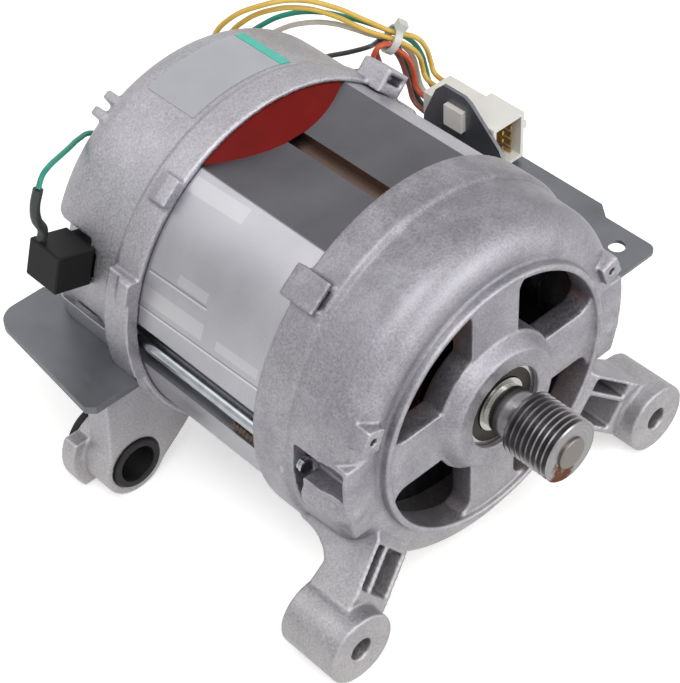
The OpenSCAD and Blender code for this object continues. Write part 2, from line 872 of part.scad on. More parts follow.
module commutator() {
    color(copper)
        difference() {
            union() {
                ring(commutator_y0, commutator_y1, commutator_hub_r, commutator_r);
                ring(commutator_y0, commutator_y0 + 2.5, commutator_hub_r, commutator_r + 1.6);
            }
            for (i = [0 : slot_count - 1])
                rotate([0, 360 * (i + 0.5) / slot_count, 0])
                    translate([commutator_r - 1.5, commutator_y0 - cut, -0.3])
                        cube([6, commutator_y1 - commutator_y0 + 2 * cut, 0.6]);
        }
}

module commutator_hub() {
    color(black)
        ring(winding_y1, commutator_y1 + 1, core_bore_r, commutator_hub_r);
}

// Speed sensor on the shaft's rear end
module tacho_magnet() {
    color([0.25, 0.25, 0.27])
        ring(tacho_y0, tail_y1 - 1, tail_r, tacho_magnet_r);
}

module tacho_coil() {
    color(copper)
        ring(tacho_y0, tacho_y0 + tacho_coil_l, tacho_coil_r0, tacho_coil_r1);
}

module tacho_cap() {
    color(black) {
        ring(tacho_y0 - 1, tacho_cap_y1, tacho_coil_r1, tacho_coil_r1 + tacho_wall);
        ring(tacho_cap_y1 - tacho_wall, tacho_cap_y1, 0, tacho_coil_r1 + tacho_wall);
        ring(tacho_y0 + tacho_coil_l, tacho_cap_y1 - 1, tacho_coil_r0 + 1, tacho_coil_r1 + 1);
    }
}

// Brush gear: holder with a tunnel, carbon brush, spring, blade terminal and cover
module at_brush(side) {
    rotate([0, -(brush_angle + (side > 0 ? 180 : 0)), 0])
        translate([0, brush_y, 0])
            children();
}

module box_r(r0, r1, w, t) {
    translate([r0, -w / 2, -t / 2])
        cube([r1 - r0, w, t]);
}

module brush_holder(side) {
    color(black)
        at_brush(side)
            difference() {
                box_r(holder_r0, holder_r1, holder_w, holder_t);
                box_r(holder_r0 - cut, spring_r1, brush_w + 2 * slide_gap, brush_t + 2 * slide_gap);
                box_r(holder_r1 - 6, holder_r1 + cut, 6.4, 0.9);
            }
}

module brush(side) {
    color([0.2, 0.2, 0.21])
        difference() {
            at_brush(side)
                box_r(commutator_r - 2, commutator_r + brush_l, brush_w, brush_t);
            round_y(brush_y - brush_w, brush_y + brush_w, commutator_r + brush_gap);
        }
}

module brush_spring(side) {
    r0 = commutator_r + brush_l + spring_wire_r + slide_gap;
    r1 = spring_r1 - spring_wire_r - slide_gap;
    rings = 8;
    total = spring_turns * rings;
    path = [for (i = [0 : total]) [r0 + (r1 - r0) * i / total,
        spring_coil_r * cos(360 * i / rings), spring_coil_r * sin(360 * i / rings)]];
    color(steel)
        at_brush(side)
            tube(path, spring_wire_r, 6, [0.1, 1, 0.1]);
}

module brush_terminal(side) {
    color([0.8, 0.68, 0.36])
        at_brush(side)
            box_r(holder_r1 - 6, holder_r1 + 8, 6.3, 0.8);
}

module terminal_cover(side) {
    color(black)
        difference() {
            at_brush(side)
                difference() {
                    box_r(cover_r0, cover_r1, cover_w, cover_t);
                    box_r(holder_r1 - 8, holder_r1 + 10, 8, 3);
                }
            round_y(brush_y - cover_w, brush_y + cover_w, rear_drum_r + skin_gap);
        }
}

module brush_holder_left() {
    brush_holder(-1);
}

module brush_holder_right() {
    brush_holder(1);
}

module brush_left() {
    brush(-1);
}

module brush_right() {
    brush(1);
}

module brush_spring_left() {
    brush_spring(-1);
}

module brush_spring_right() {
    brush_spring(1);
}

module brush_terminal_left() {
    brush_terminal(-1);
}

module brush_terminal_right() {
    brush_terminal(1);
}

module terminal_cover_left() {
    terminal_cover(-1);
}

module terminal_cover_right() {
    terminal_cover(1);
}

// Rubber bushes pushed into the rear lugs
module bush() {
    color(black)
        difference() {
            union() {
                round_y(rear_lug_y0 - 1, rear_lug_y1 + 2, bush_r, lug_x, -lug_drop);
                round_y(rear_lug_y1, rear_lug_y1 + 3, bush_flange_r, lug_x, -lug_drop);
            }
            round_y(rear_lug_y0 - 2, rear_lug_y1 + 4, bush_bore_d / 2, lug_x, -lug_drop);
        }
}

module bush_right() {
    bush();
}

module bush_left() {
    mirror([1, 0, 0])
        bush();
}

// Flat plate on the rear left lug's arm, with a rounded corner
module side_plate() {
    y0 = rear_lug_y0 - 3;
    y1 = y0 + side_plate_l;
    corner = 9;
    inner_x = -rear_drum_r + 12;
    color(sheet_grey)
        difference() {
            translate([0, 0, side_plate_z - side_plate_t])
                linear_extrude(side_plate_t)
                    union() {
                        polygon([[side_plate_x, y0 + 3], [side_plate_x + 3, y0], [inner_x, y0],
                            [inner_x, rear_back_y - rear_corner_r], [inner_x - 8, y1],
                            [side_plate_x + corner + 5, y1], [side_plate_x + 5, y1 - corner]]);
                        translate([side_plate_x + 5 + corner, y1 - corner])
                            circle(corner);
                    }
            round_y(rear_rim_y - 10, rear_band_y + 0.2, rim_r + 2.8 + skin_gap);
            turned()
                rear_outline_2d(skin_gap);
            translate([side_screw_x, side_screw_y, side_plate_z - side_plate_t - cut])
                cylinder(h = side_plate_t - 0.4 + cut, r = screw_r);
        }
}

// Sheet plate on the right, screwed to a pad on each shield, with a tab for the connector
module connector_plate() {
    z0 = sheet_z - sheet_t;
    corner = 4;
    color(sheet_grey) {
        difference() {
            translate([0, 0, z0])
                linear_extrude(sheet_t)
                    difference() {
                        union() {
                            polygon([[sheet_x0, sheet_y0], [sheet_x1 - 4.6 - corner, sheet_y0],
                                [sheet_x1 - 4.6, sheet_y0 + corner], [sheet_x1 - 4.6, sheet_y0 + 25],
                                [sheet_x1, sheet_y0 + 31], [sheet_x1, sheet_y1], [sheet_x0, sheet_y1]]);
                            translate([sheet_x1 - 4.6 - corner, sheet_y0 + corner])
                                circle(corner);
                        }
                        translate([sheet_x0 + 12.5, sheet_y0 + 11.5])
                            circle(3.3);
                        for (y = plate_screw_ys)
                            translate([plate_screw_x, y])
                                circle(screw_r);
                    }
            round_y(sheet_y0 - cut, front_rim_y + 5, rim_r + 0.6);
            round_y(rear_rim_y - 8, sheet_y1 + cut, rim_r + 2.8 + skin_gap);
        }
        translate([tab_x, 0, 0])
            rotate([90, 0, 90])
                linear_extrude(sheet_t)
                    difference() {
                        polygon([[tab_y - 34, z0], [tab_y - 24, 20], [tab_y - 9, tab_z - 1.5],
                            [tab_y - 6, tab_z], [tab_y + 5, tab_z], [tab_y + 9, tab_z - 4],
                            [tab_y + 15, 17], [tab_y + 17, z0]]);
                        translate([tab_y - 7, 19])
                            square([10, 10]);
                    }
    }
}

// Screws driven up from below, and the pin that locates the side plate
module plate_screws() {
    color(zinc) {
        for (y = plate_screw_ys)
            translate([plate_screw_x, y, sheet_z - sheet_t - pad_h]) {
                cylinder(h = pad_h + sheet_t, r = screw_r - skin_gap);
                translate([0, 0, -2.5])
                    cylinder(h = 2.5, r = screw_head_r);
            }
        translate([side_screw_x, side_screw_y, side_plate_z - side_plate_t - 5])
            cylinder(h = 5 + side_plate_t - 0.4, r = screw_r - skin_gap);
    }
}

// Connector: block with a row of cavities at the front, a stepped top and a clip through the tab
module connector_housing() {
    w = connector_x1 - connector_x0;
    h = connector_z1 - connector_z0;
    color(cream) {
        difference() {
            union() {
                translate([connector_x0, connector_y0, connector_z0])
                    cube([w, 17, h]);
                translate([connector_x0, connector_y0 + 16, connector_z0])
                    cube([w - 2, connector_l - 16, h - 1]);
                translate([connector_x1 - 2, connector_y0, connector_z1 - 8])
                    cube([3.5, 9, 3]);
            }
            translate([connector_x0 + 1.5, connector_y0 - cut, connector_z0 + 1.5])
                cube([w - 3, 11 + cut, h - 3]);
            for (x = cavity_xs)
                for (z = cavity_zs)
                    round_y(connector_y1 - 6, connector_y1 + cut, cavity_r, x, z);
        }
        translate([tab_x - 2.2, tab_y - 6.6, 19.4])
            cube([sheet_t + 3, 9.2, 9.2]);
        translate([connector_x0, connector_y0 + 3, sheet_z])
            cube([w - 2, connector_l - 6, connector_z0 - sheet_z + 0.5]);
    }
}

module connector_pins() {
    color([0.8, 0.68, 0.36])
        for (x = cavity_xs)
            for (z = cavity_zs)
                translate([x - 0.4, connector_y0 + 3, z - 0.9])
                    cube([0.8, 10, 1.8]);
}

// Blank sticker round the top of the rear drum, with a coloured strip at its edge
label_y0 = rear_band_y + 3;
label_y1 = rear_back_y - rear_corner_r;
module label() {
    color([0.9, 0.9, 0.88])
        ring_sector(label_y0, label_y1, rear_drum_r, rear_drum_r + 0.25, 75.5, 109);
}

module label_strip() {
    color([0.25, 0.7, 0.66])
        ring_sector(label_y0, label_y1, rear_drum_r, rear_drum_r + 0.25, 71.5, 75.2);
}

// Loom: each wire runs through hand-placed points, from the field windings out of a vent in the
// rear shield, through the tie and into the connector; stations are measured from the stack's rear end
wire_r = 1.2;
lead_sleeve_r = 1.9;
function brush_point(r, up) = [r * cos(brush_angle) + up * sin(brush_angle), brush_y - stack_y1 + 5,
    r * sin(brush_angle) - up * cos(brush_angle)];
function into(column, row, bend) =
    let (x = cavity_xs[column], z = cavity_zs[row])
    [[x, 1.6 + bend, z + bend], [x, 1.6 + 0.71 * bend, z + 0.29 * bend], [x, 1.6, z], [x, -5, z]];
yellow_upper = concat([[19, 6, 43.5], [19, 42, 43.5], [20, 47.5, 46.5], [23, 49.5, 54], [28, 45, 62.5],
    [36, 37, 68], [47, 29, 69], [59, 21, 63.5], [68, 14.5, 56.5], [77, 8, 49.5], [84.5, 5.8, 45],
    [91, 6.2, 36.5]], into(2, 4, 5));
yellow_lower = concat([[24, 6, 41], [24, 42, 41], [25.5, 47.5, 44.5], [29, 48.5, 51.5], [34, 43.5, 59.5],
    [41, 36.5, 64], [50, 29, 64], [59, 21.5, 59.5], [67, 13.5, 53], [75, 6.5, 48], [81.5, 4.5, 42],
    [87, 5.5, 34.5]], into(1, 4, 5));
green = concat([[29, 6, 37.5], [29, 43, 37.5], [31, 48, 41], [36, 48, 47.5], [42, 43, 54],
    [49, 36, 58.5], [57, 28.5, 59], [65, 21.5, 56], [71.5, 16, 52.5], [78, 10.5, 48], [85, 9, 42],
    [91.3, 9, 32]], into(2, 2, 7.8));
white = concat([[33.5, 6, 33], [33.5, 43, 33], [36, 48, 36], [41, 48, 42], [48, 41.5, 49],
    [55, 33, 53], [61, 25, 53.5], [66, 18.5, 51.5], [70.5, 13.5, 49], [76, 9, 47], [82, 7.8, 40],
    [87, 8.7, 32]], into(1, 2, 7.8));
orange = concat([[44.5, 6, 11], [44.5, 43, 11], [48, 48.5, 11], [57, 49, 12.5], [67, 43, 16],
    [73, 32, 21], [74.5, 21, 27], [70, 12, 35.5], [66.3, 9.2, 41.5], [64.8, 7.2, 46.2], [66.3, 5.7, 49.8],
    [70, 5.6, 49.2], [74, 7, 45.4], [79, 5, 39.5], [83, 5.5, 32]], into(0, 3, 5));
black_wire = concat([[46.5, 6, 15], [46.5, 43, 15], [50.5, 48.5, 17], [59.5, 48, 21],
    [68, 41.5, 25.5], [74.5, 31, 30.5], [77, 22.5, 36], [75, 16.2, 42.2], [75.6, 12.6, 45.8],
    [78.4, 11.4, 44], [81.8, 11.2, 38], [85.5, 11.6, 29]], into(1, 0, 10.6));
brown = concat([brush_point(5 - cover_r1, cover_t / 2), brush_point(5 - cover_r1, cover_t / 2 + 5),
    [77.8, 21.5, 3], [78, 19, 12], [77.6, 16.5, 22], [76, 15, 30], [73.7, 14.4, 36.5],
    [72.3, 13.5, 41.2], [72.6, 11.8, 44.3], [74.8, 10.2, 44], [77.4, 9.2, 40.5], [79.6, 8.6, 36],
    [82.2, 8.7, 28.5]], into(0, 1, 8));
lead_left = [[-30, 6, 36], [-30, 43, 36], [-31.5, 48.5, 39], [-37, 48.5, 44], [-45, 44.5, 48],
    [-53, 39.5, 51], [-61, 34.2, 54.5], [-68, 29.8, 57], [-73.3, 26.5, 57.6], [-76.5, 25, 54.8]];
sleeve_left = [[-76.5, 25, 54.8], [-78.4, 25.8, 48], [-78.2, 26.7, 41],
    brush_point(cover_r1 - 2.6, cover_t / 2 + 4), brush_point(cover_r1 - 2.6, cover_t / 2)];

module wire(path, shade) {
    color(shade)
        translate([0, stack_y1, 0])
            tube(path, wire_r, 8);
}

module wire_yellow_upper() {
    wire(yellow_upper, [0.86, 0.66, 0.2]);
}

module wire_yellow_lower() {
    wire(yellow_lower, [0.86, 0.66, 0.2]);
}

module wire_green() {
    wire(green, [0.1, 0.5, 0.42]);
}

module wire_white() {
    wire(white, cream);
}

module wire_orange() {
    wire(orange, [0.85, 0.33, 0.16]);
}

module wire_brown() {
    wire(brown, [0.4, 0.22, 0.18]);
}

module wire_black() {
    wire(black_wire, black);
}

module brush_lead_left() {
    wire(lead_left, [0.1, 0.5, 0.42]);
}

module lead_sleeve_left() {
    color(black)
        translate([0, stack_y1, 0])
            tube(sleeve_left, lead_sleeve_r, 8);
}

// Tie strapped round the loom where the wires turn down to the connector
tie_at = [76, 9, 46.5];
tie_along = [0.69, -0.48, -0.54];
tie_r = 4.9;
tie_t = 0.8;
tie_w = 3;
module cable_tie() {
    color(cream)
        translate([0, stack_y1, 0])
            translate(tie_at)
                rotate([0, acos(tie_along.z / norm(tie_along)), atan2(tie_along.y, tie_along.x)]) {
                    difference() {
                        cylinder(h = tie_w, r = tie_r + tie_t, center = true);
                        cylinder(h = tie_w + cut, r = tie_r, center = true);
                    }
                    translate([-tie_r - 3.6, -2, -2])
                        cube([3.4, 4, 4]);
                }
}

front_shield();
rear_shield();
stator_core();
field_coil_top();
field_coil_bottom();
insulation_caps();
through_bolts();
bolt_washers();
groove_studs();
pulley();
shaft();
front_outer_ring();
front_inner_ring();
front_ball_cage();
front_dust_shields();
rear_outer_ring();
rear_inner_ring();
rear_ball_cage();
rear_dust_shields();
armature_core();
armature_winding();
armature_front_winding();
winding_sleeve();
commutator();
commutator_hub();
tacho_magnet();
tacho_coil();
tacho_cap();
brush_holder_left();
brush_holder_right();
brush_left();
brush_right();
brush_spring_left();
brush_spring_right();
brush_terminal_left();
brush_terminal_right();
terminal_cover_left();
terminal_cover_right();
bush_left();
bush_right();
side_plate();
connector_plate();
plate_screws();
connector_housing();
connector_pins();
label();
label_strip();
cable_tie();
wire_yellow_upper();
wire_yellow_lower();
wire_green();
wire_white();
wire_orange();
wire_brown();
wire_black();
brush_lead_left();
lead_sleeve_left();
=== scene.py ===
import math

import bmesh
import bpy
from mathutils import Matrix, Vector


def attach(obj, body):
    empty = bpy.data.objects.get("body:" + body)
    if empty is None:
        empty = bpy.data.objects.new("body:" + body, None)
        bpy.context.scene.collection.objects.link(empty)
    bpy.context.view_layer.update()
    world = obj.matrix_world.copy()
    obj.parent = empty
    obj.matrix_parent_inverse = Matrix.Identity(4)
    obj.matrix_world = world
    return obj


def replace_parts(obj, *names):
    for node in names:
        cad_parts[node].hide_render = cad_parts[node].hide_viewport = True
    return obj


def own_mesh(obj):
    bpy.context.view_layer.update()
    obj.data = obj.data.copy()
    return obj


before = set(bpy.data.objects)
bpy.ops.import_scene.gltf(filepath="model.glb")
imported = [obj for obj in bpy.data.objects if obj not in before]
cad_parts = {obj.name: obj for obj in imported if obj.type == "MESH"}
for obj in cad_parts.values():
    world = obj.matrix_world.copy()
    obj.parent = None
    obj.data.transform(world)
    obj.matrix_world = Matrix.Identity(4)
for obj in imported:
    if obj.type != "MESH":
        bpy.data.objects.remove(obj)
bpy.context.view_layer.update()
scene = bpy.context.scene
scene.view_settings.view_transform = "Standard"


# The studio. A white sweep stands under one large soft lamp and two fill lamps, and a long lens
# looks down at the motor's front left. The motor rests on its four lugs, 71 mm below the shaft.
MM = 0.001
FLOOR_Z = -71 * MM


def linear(shade):
    parts = [int(shade[i:i + 2], 16) / 255 for i in (1, 3, 5)]
    return tuple(c / 12.92 if c <= 0.04045 else ((c + 0.055) / 1.055) ** 2.4 for c in parts) + (1.0,)


def add(owner, kind, values=None, links=None, **settings):
    node = owner.node_tree.nodes.new(kind)
    for name, value in settings.items():
        setattr(node, name, value)
    for name, value in (values or {}).items():
        node.inputs[name].default_value = value
    for name, source in (links or {}).items():
        owner.node_tree.links.new(source, node.inputs[name])
    return node


def material(name, **sockets):
    made = bpy.data.materials.new(name)
    made.use_nodes = True
    shader = made.node_tree.nodes["Principled BSDF"]
    for socket, value in sockets.items():
        shader.inputs[socket.replace("_", " ")].default_value = value
    return made, shader.inputs, add(made, "ShaderNodeTexCoord").outputs["Object"]


def piece(name, bm, finish, body, smooth=35):
    mesh = bpy.data.meshes.new(name)
    bm.to_mesh(mesh)
    bm.free()
    mesh.shade_smooth()
    mesh.set_sharp_from_angle(angle=math.radians(smooth))
    mesh.materials.append(finish)
    made = bpy.data.objects.new(name, mesh)
    scene.collection.objects.link(made)
    if body:
        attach(made, body)
    return made


sweep, sockets, place = material("white_sweep", Base_Color=linear("#f4f4f2"), Roughness=0.9)
seen = add(sweep, "ShaderNodeLightPath")
shown = add(sweep, "ShaderNodeMath", {1: 0.4}, {0: seen.outputs["Is Glossy Ray"], 2: seen.outputs["Is Camera Ray"]},
            operation="MULTIPLY_ADD")
glow = add(sweep, "ShaderNodeMapRange", {"To Max": 0.5}, {"Value": shown.outputs[0]})
sockets["Emission Color"].default_value = (1, 1, 1, 1)
sweep.node_tree.links.new(glow.outputs[0], sockets["Emission Strength"])
bm = bmesh.new()
bmesh.ops.create_grid(bm, x_segments=1, y_segments=1, size=4, matrix=Matrix.Translation((0, 0, FLOOR_Z)))
piece("floor", bm, sweep, None)

world = bpy.data.worlds.new("studio")
scene.world = world
world.use_nodes = True
seen = add(world, "ShaderNodeLightPath")
bright = add(world, "ShaderNodeMath", links={0: seen.outputs["Is Camera Ray"], 1: seen.outputs["Is Glossy Ray"]},
             operation="MAXIMUM")
bright = add(world, "ShaderNodeMath", links={0: bright.outputs[0], 1: seen.outputs["Is Transmission Ray"]},
             operation="MAXIMUM")
level = add(world, "ShaderNodeMapRange", {"To Min": 0.5, "To Max": 1.0}, {"Value": bright.outputs[0]})
toward = add(world, "ShaderNodeSeparateXYZ", links={0: add(world, "ShaderNodeTexCoord").outputs["Generated"]})
left = add(world, "ShaderNodeMapRange", {"From Min": -1, "From Max": 0.1, "To Min": 0.68},
           {"Value": toward.outputs["X"]})
high = add(world, "ShaderNodeMapRange", {"From Min": 0.3, "From Max": 0.75}, {"Value": toward.outputs["Z"]})
dim = add(world, "ShaderNodeMath", links={0: left.outputs[0], 1: high.outputs[0]}, operation="MAXIMUM")
dim = add(world, "ShaderNodeMath", links={0: dim.outputs[0], 1: seen.outputs["Is Camera Ray"]}, operation="MAXIMUM")
level = add(world, "ShaderNodeMath", links={0: level.outputs[0], 1: dim.outputs[0]}, operation="MULTIPLY")
backdrop = world.node_tree.nodes["Background"]
backdrop.inputs["Color"].default_value = (1, 1, 1, 1)
world.node_tree.links.new(level.outputs[0], backdrop.inputs["Strength"])

for name, spot, size, power in (("key", (-0.4, -0.45, 1.3), 0.7, 8), ("rear_fill", (-0.75, 0.6, 1.1), 0.8, 2),
                                ("front_fill", (0.5, -1.3, 0.45), 0.8, 8)):
    lamp = bpy.data.lights.new(name, "AREA")
    lamp.size, lamp.energy = size, power
    held = bpy.data.objects.new(name, lamp)
    held.location = spot
    held.rotation_euler = (-Vector(spot)).to_track_quat("-Z", "Y").to_euler()
    scene.collection.objects.link(held)

lens = bpy.data.cameras.new("camera")
lens.sensor_fit = "HORIZONTAL"
lens.sensor_width = 36
# The photo is 680 pixels wide, and its fitted focal length is 2000 pixels.
lens.lens = lens.sensor_width * 2000 / 680
camera = bpy.data.objects.new("camera", lens)
right, up = Vector((0.72932, -0.68322, -0.03630)), Vector((0.49441, 0.48961, 0.71823))
camera.matrix_world = (Matrix.Translation((-0.3495, -0.2971, 0.4876))
                       @ Matrix((right, up, right.cross(up))).transposed().to_4x4())
scene.collection.objects.link(camera)
scene.camera = camera


# The two end shields. Each is pressure die cast in aluminium, left as cast, so every edge is a
# little round and the skin is grainy and mottled, with its high edges rubbed bright. It is paler to the
# rear, with painted light making it lighter and warmer low down, painted shade in its hollows, and grime darkening the
# front rim at the top.
aluminium, sockets, place = material("cast_aluminium", Metallic=1.0)
cloud = add(aluminium, "ShaderNodeTexNoise", {"Scale": 90, "Detail": 5, "Roughness": 0.65}, {"Vector": place})
grain = add(aluminium, "ShaderNodeTexNoise", {"Scale": 1150, "Detail": 3, "Roughness": 0.7}, {"Vector": place})
patches = add(aluminium, "ShaderNodeMapRange", {"From Min": 0.3, "From Max": 0.7}, {"Value": cloud.outputs[0]})
skin = add(aluminium, "ShaderNodeMix", {"A": linear("#96949b"), "B": linear("#b0aeb3")},
           {"Factor": patches.outputs[0]}, data_type="RGBA")
along = add(aluminium, "ShaderNodeSeparateXYZ", links={0: place})
pale = add(aluminium, "ShaderNodeMapRange", {"From Min": 0.03, "From Max": 0.13, "To Max": 0.35},
           {"Value": along.outputs["Y"]})
skin = add(aluminium, "ShaderNodeMix", {"B": linear("#cfcdd2")},
           {"Factor": pale.outputs[0], "A": skin.outputs["Result"]}, data_type="RGBA")
# Painted light: the low parts of the shields are painted lighter and warmer.
low_painted_light = add(aluminium, "ShaderNodeMapRange", {"From Min": -0.02, "From Max": -0.06, "To Max": 0.35},
           {"Value": along.outputs["Z"]})
skin = add(aluminium, "ShaderNodeMix", {"B": linear("#cbc6c2")},
           {"Factor": low_painted_light.outputs[0], "A": skin.outputs["Result"]}, data_type="RGBA")
top = add(aluminium, "ShaderNodeMapRange", {"From Min": 0.03, "From Max": 0.06, "To Max": 0.42},
          {"Value": along.outputs["Z"]})
rim = add(aluminium, "ShaderNodeMapRange", {"From Min": 0.025, "From Max": 0.036}, {"Value": along.outputs["Y"]})
front = add(aluminium, "ShaderNodeMath", {1: 0.1}, {0: along.outputs["Y"]}, operation="LESS_THAN")
grime = add(aluminium, "ShaderNodeMath", links={0: top.outputs[0], 1: rim.outputs[0]}, operation="MULTIPLY")
grime = add(aluminium, "ShaderNodeMath", links={0: grime.outputs[0], 1: front.outputs[0]}, operation="MULTIPLY")
blotch = add(aluminium, "ShaderNodeMapRange", {"From Min": 0.35, "From Max": 0.55}, {"Value": cloud.outputs[0]})
grime = add(aluminium, "ShaderNodeMath", links={0: grime.outputs[0], 1: blotch.outputs[0]}, operation="MULTIPLY")
skin = add(aluminium, "ShaderNodeMix", {"B": linear("#4f4d52")},
           {"Factor": grime.outputs[0], "A": skin.outputs["Result"]}, data_type="RGBA")
speck = add(aluminium, "ShaderNodeMapRange", {"From Min": 0.3, "From Max": 0.7, "To Min": 0.32, "To Max": 0.65},
            {"Value": grain.outputs[0]})
skin = add(aluminium, "ShaderNodeMix", {"Factor": 0.7}, {"A": skin.outputs["Result"], "B": speck.outputs[0]},
           data_type="RGBA", blend_type="OVERLAY")
shape = add(aluminium, "ShaderNodeNewGeometry")
worn = add(aluminium, "ShaderNodeMapRange", {"From Min": 0.52, "From Max": 0.6, "To Max": 0.6},
           {"Value": shape.outputs["Pointiness"]})
skin = add(aluminium, "ShaderNodeMix", {"B": linear("#cac8ce")},
           {"Factor": worn.outputs[0], "A": skin.outputs["Result"]}, data_type="RGBA")
# Painted shade: concave places, found by pointiness, are painted darker.
hollow_painted_shade = add(aluminium, "ShaderNodeMapRange", {"From Min": 0.495, "From Max": 0.44, "To Max": 0.7},
             {"Value": shape.outputs["Pointiness"]})
skin = add(aluminium, "ShaderNodeMix", {"B": linear("#5b5b5e")},
           {"Factor": hollow_painted_shade.outputs[0], "A": skin.outputs["Result"]}, data_type="RGBA")
dull = add(aluminium, "ShaderNodeMapRange", {"From Min": 0.3, "From Max": 0.7, "To Min": 0.42, "To Max": 0.6},
           {"Value": grain.outputs[0]})
sand = add(aluminium, "ShaderNodeBump", {"Strength": 0.35, "Distance": 0.0003}, {"Height": grain.outputs[0]})
aluminium.node_tree.links.new(skin.outputs["Result"], sockets["Base Color"])
aluminium.node_tree.links.new(dull.outputs[0], sockets["Roughness"])
aluminium.node_tree.links.new(sand.outputs[0], sockets["Normal"])


def copy_of(node):
    bm = bmesh.new()
    bm.from_mesh(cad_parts[node].data)
    bmesh.ops.remove_doubles(bm, verts=bm.verts, dist=1e-6)
    return bm


for node in ("front_shield", "rear_shield"):
    casting = piece(node + "_casting", copy_of(node), aluminium, "frame")
    rounded = casting.modifiers.new("rounded", "REMESH")
    rounded.mode, rounded.voxel_size, rounded.use_smooth_shade = "VOXEL", 0.6 * MM, True
    eased = casting.modifiers.new("eased", "SMOOTH")
    eased.factor, eased.iterations = 0.5, 5
    thinned = casting.modifiers.new("thinned", "DECIMATE")
    thinned.ratio = 0.32
    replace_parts(casting, node)


# The lamination stack. Thin punched sheets of electrical steel are stacked and clamped, so fine
# edges run round it, bright on the turned sides and darker on the two smooth flats.
def dress(finish, *nodes):
    for node in nodes:
        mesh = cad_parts[node].data
        mesh.materials.clear()
        mesh.materials.append(finish)


steel, sockets, place = material("electrical_steel_stack", Metallic=1.0)
# The sheets are 0.5 mm thick, too fine to show, so the bands are drawn 1 mm apart.
sheets = add(steel, "ShaderNodeTexWave", {"Scale": 314, "Distortion": 0.4, "Detail Scale": 0.5}, {"Vector": place},
             bands_direction="Y")
cloud = add(steel, "ShaderNodeTexNoise", {"Scale": 35, "Detail": 4}, {"Vector": place})
side = add(steel, "ShaderNodeMix", {"A": linear("#a3a2a8"), "B": linear("#c9c8cd")},
           {"Factor": cloud.outputs[0]}, data_type="RGBA")
edges = add(steel, "ShaderNodeMapRange", {"To Min": 0.45, "To Max": 0.55}, {"Value": sheets.outputs["Fac"]})
side = add(steel, "ShaderNodeMix", {"Factor": 0.6}, {"A": side.outputs["Result"], "B": edges.outputs[0]},
           data_type="RGBA", blend_type="OVERLAY")
across = add(steel, "ShaderNodeSeparateXYZ", links={0: place})
around = add(steel, "ShaderNodeMath", links={0: across.outputs["Z"], 1: across.outputs["X"]}, operation="ARCTAN2")
LEAN, MIDDLE_Y = 0.452, 0.102  # radians per metre, metres
lean = add(steel, "ShaderNodeMath", {1: -LEAN, 2: LEAN * MIDDLE_Y}, {0: across.outputs["Y"]},
           operation="MULTIPLY_ADD")
around = add(steel, "ShaderNodeMath", links={0: lean.outputs[0], 1: around.outputs[0]}, operation="ADD")
# Pressed seams, which lean a little, each drawn as a painted shade line beside a painted highlight line,
# and the pale patches beside them: angle and half width in degrees, span in mm, shade.
for angle, half, first, last, shade in ((159.3, 2.6, 100, 131, "#dcdbdd"), (160.2, 1.6, 72, 93, "#dcdbdd"),
                                        (149.2, 1.6, 102, 117, "#dcdbdd"), (123.5, 2.6, 104, 131, "#dcdbdd"),
                                        (163.9, 0.3, 57, 143, "#3a393c"), (164.5, 0.35, 57, 143, "#ffffff"),
                                        (151.6, 0.3, 101, 131, "#3a393c"), (152.2, 0.3, 101, 131, "#ffffff")):
    beside = add(steel, "ShaderNodeMath", {1: math.radians(angle), 2: math.radians(half)}, {0: around.outputs[0]},
                 operation="COMPARE")
    along = add(steel, "ShaderNodeMath", {1: (first + last) / 2 * MM, 2: (last - first) / 2 * MM},
                {0: across.outputs["Y"]}, operation="COMPARE")
    mark = add(steel, "ShaderNodeMath", links={0: beside.outputs[0], 1: along.outputs[0]}, operation="MULTIPLY")
    mark = add(steel, "ShaderNodeMath", {1: 0.35}, {0: mark.outputs[0]}, operation="MULTIPLY")
    side = add(steel, "ShaderNodeMix", {"B": linear(shade)}, {"Factor": mark.outputs[0], "A": side.outputs["Result"]},
               data_type="RGBA")
flat = add(steel, "ShaderNodeMix", {"A": linear("#525155"), "B": linear("#78777b")},
           {"Factor": cloud.outputs[0]}, data_type="RGBA")
height = add(steel, "ShaderNodeMath", links={0: across.outputs["Z"]}, operation="ABSOLUTE")
top = add(steel, "ShaderNodeMapRange", {"From Min": 59.6 * MM, "From Max": 59.9 * MM}, {"Value": height.outputs[0]})
skin = add(steel, "ShaderNodeMix", links={"Factor": top.outputs[0], "A": side.outputs["Result"],
                                          "B": flat.outputs["Result"]}, data_type="RGBA")
middle = add(steel, "ShaderNodeMath", {1: 0, 2: 3.8 * MM}, {0: across.outputs["X"]}, operation="COMPARE")
sunk = add(steel, "ShaderNodeMath", {1: 57.5 * MM, 2: 2.2 * MM}, {0: height.outputs[0]}, operation="COMPARE")
slot = add(steel, "ShaderNodeMath", links={0: middle.outputs[0], 1: sunk.outputs[0]}, operation="MULTIPLY")
skin = add(steel, "ShaderNodeMix", {"B": linear("#75625a")}, {"Factor": slot.outputs[0], "A": skin.outputs["Result"]},
           data_type="RGBA")
dull = add(steel, "ShaderNodeMapRange", {"To Min": 0.34, "To Max": 0.5}, {"Value": cloud.outputs[0]})
ridges = add(steel, "ShaderNodeBump", {"Strength": 0.15, "Distance": 0.0002}, {"Height": sheets.outputs["Fac"]})
steel.node_tree.links.new(skin.outputs["Result"], sockets["Base Color"])
steel.node_tree.links.new(dull.outputs[0], sockets["Roughness"])
steel.node_tree.links.new(ridges.outputs[0], sockets["Normal"])
dress(steel, "stator_core", "armature_core")


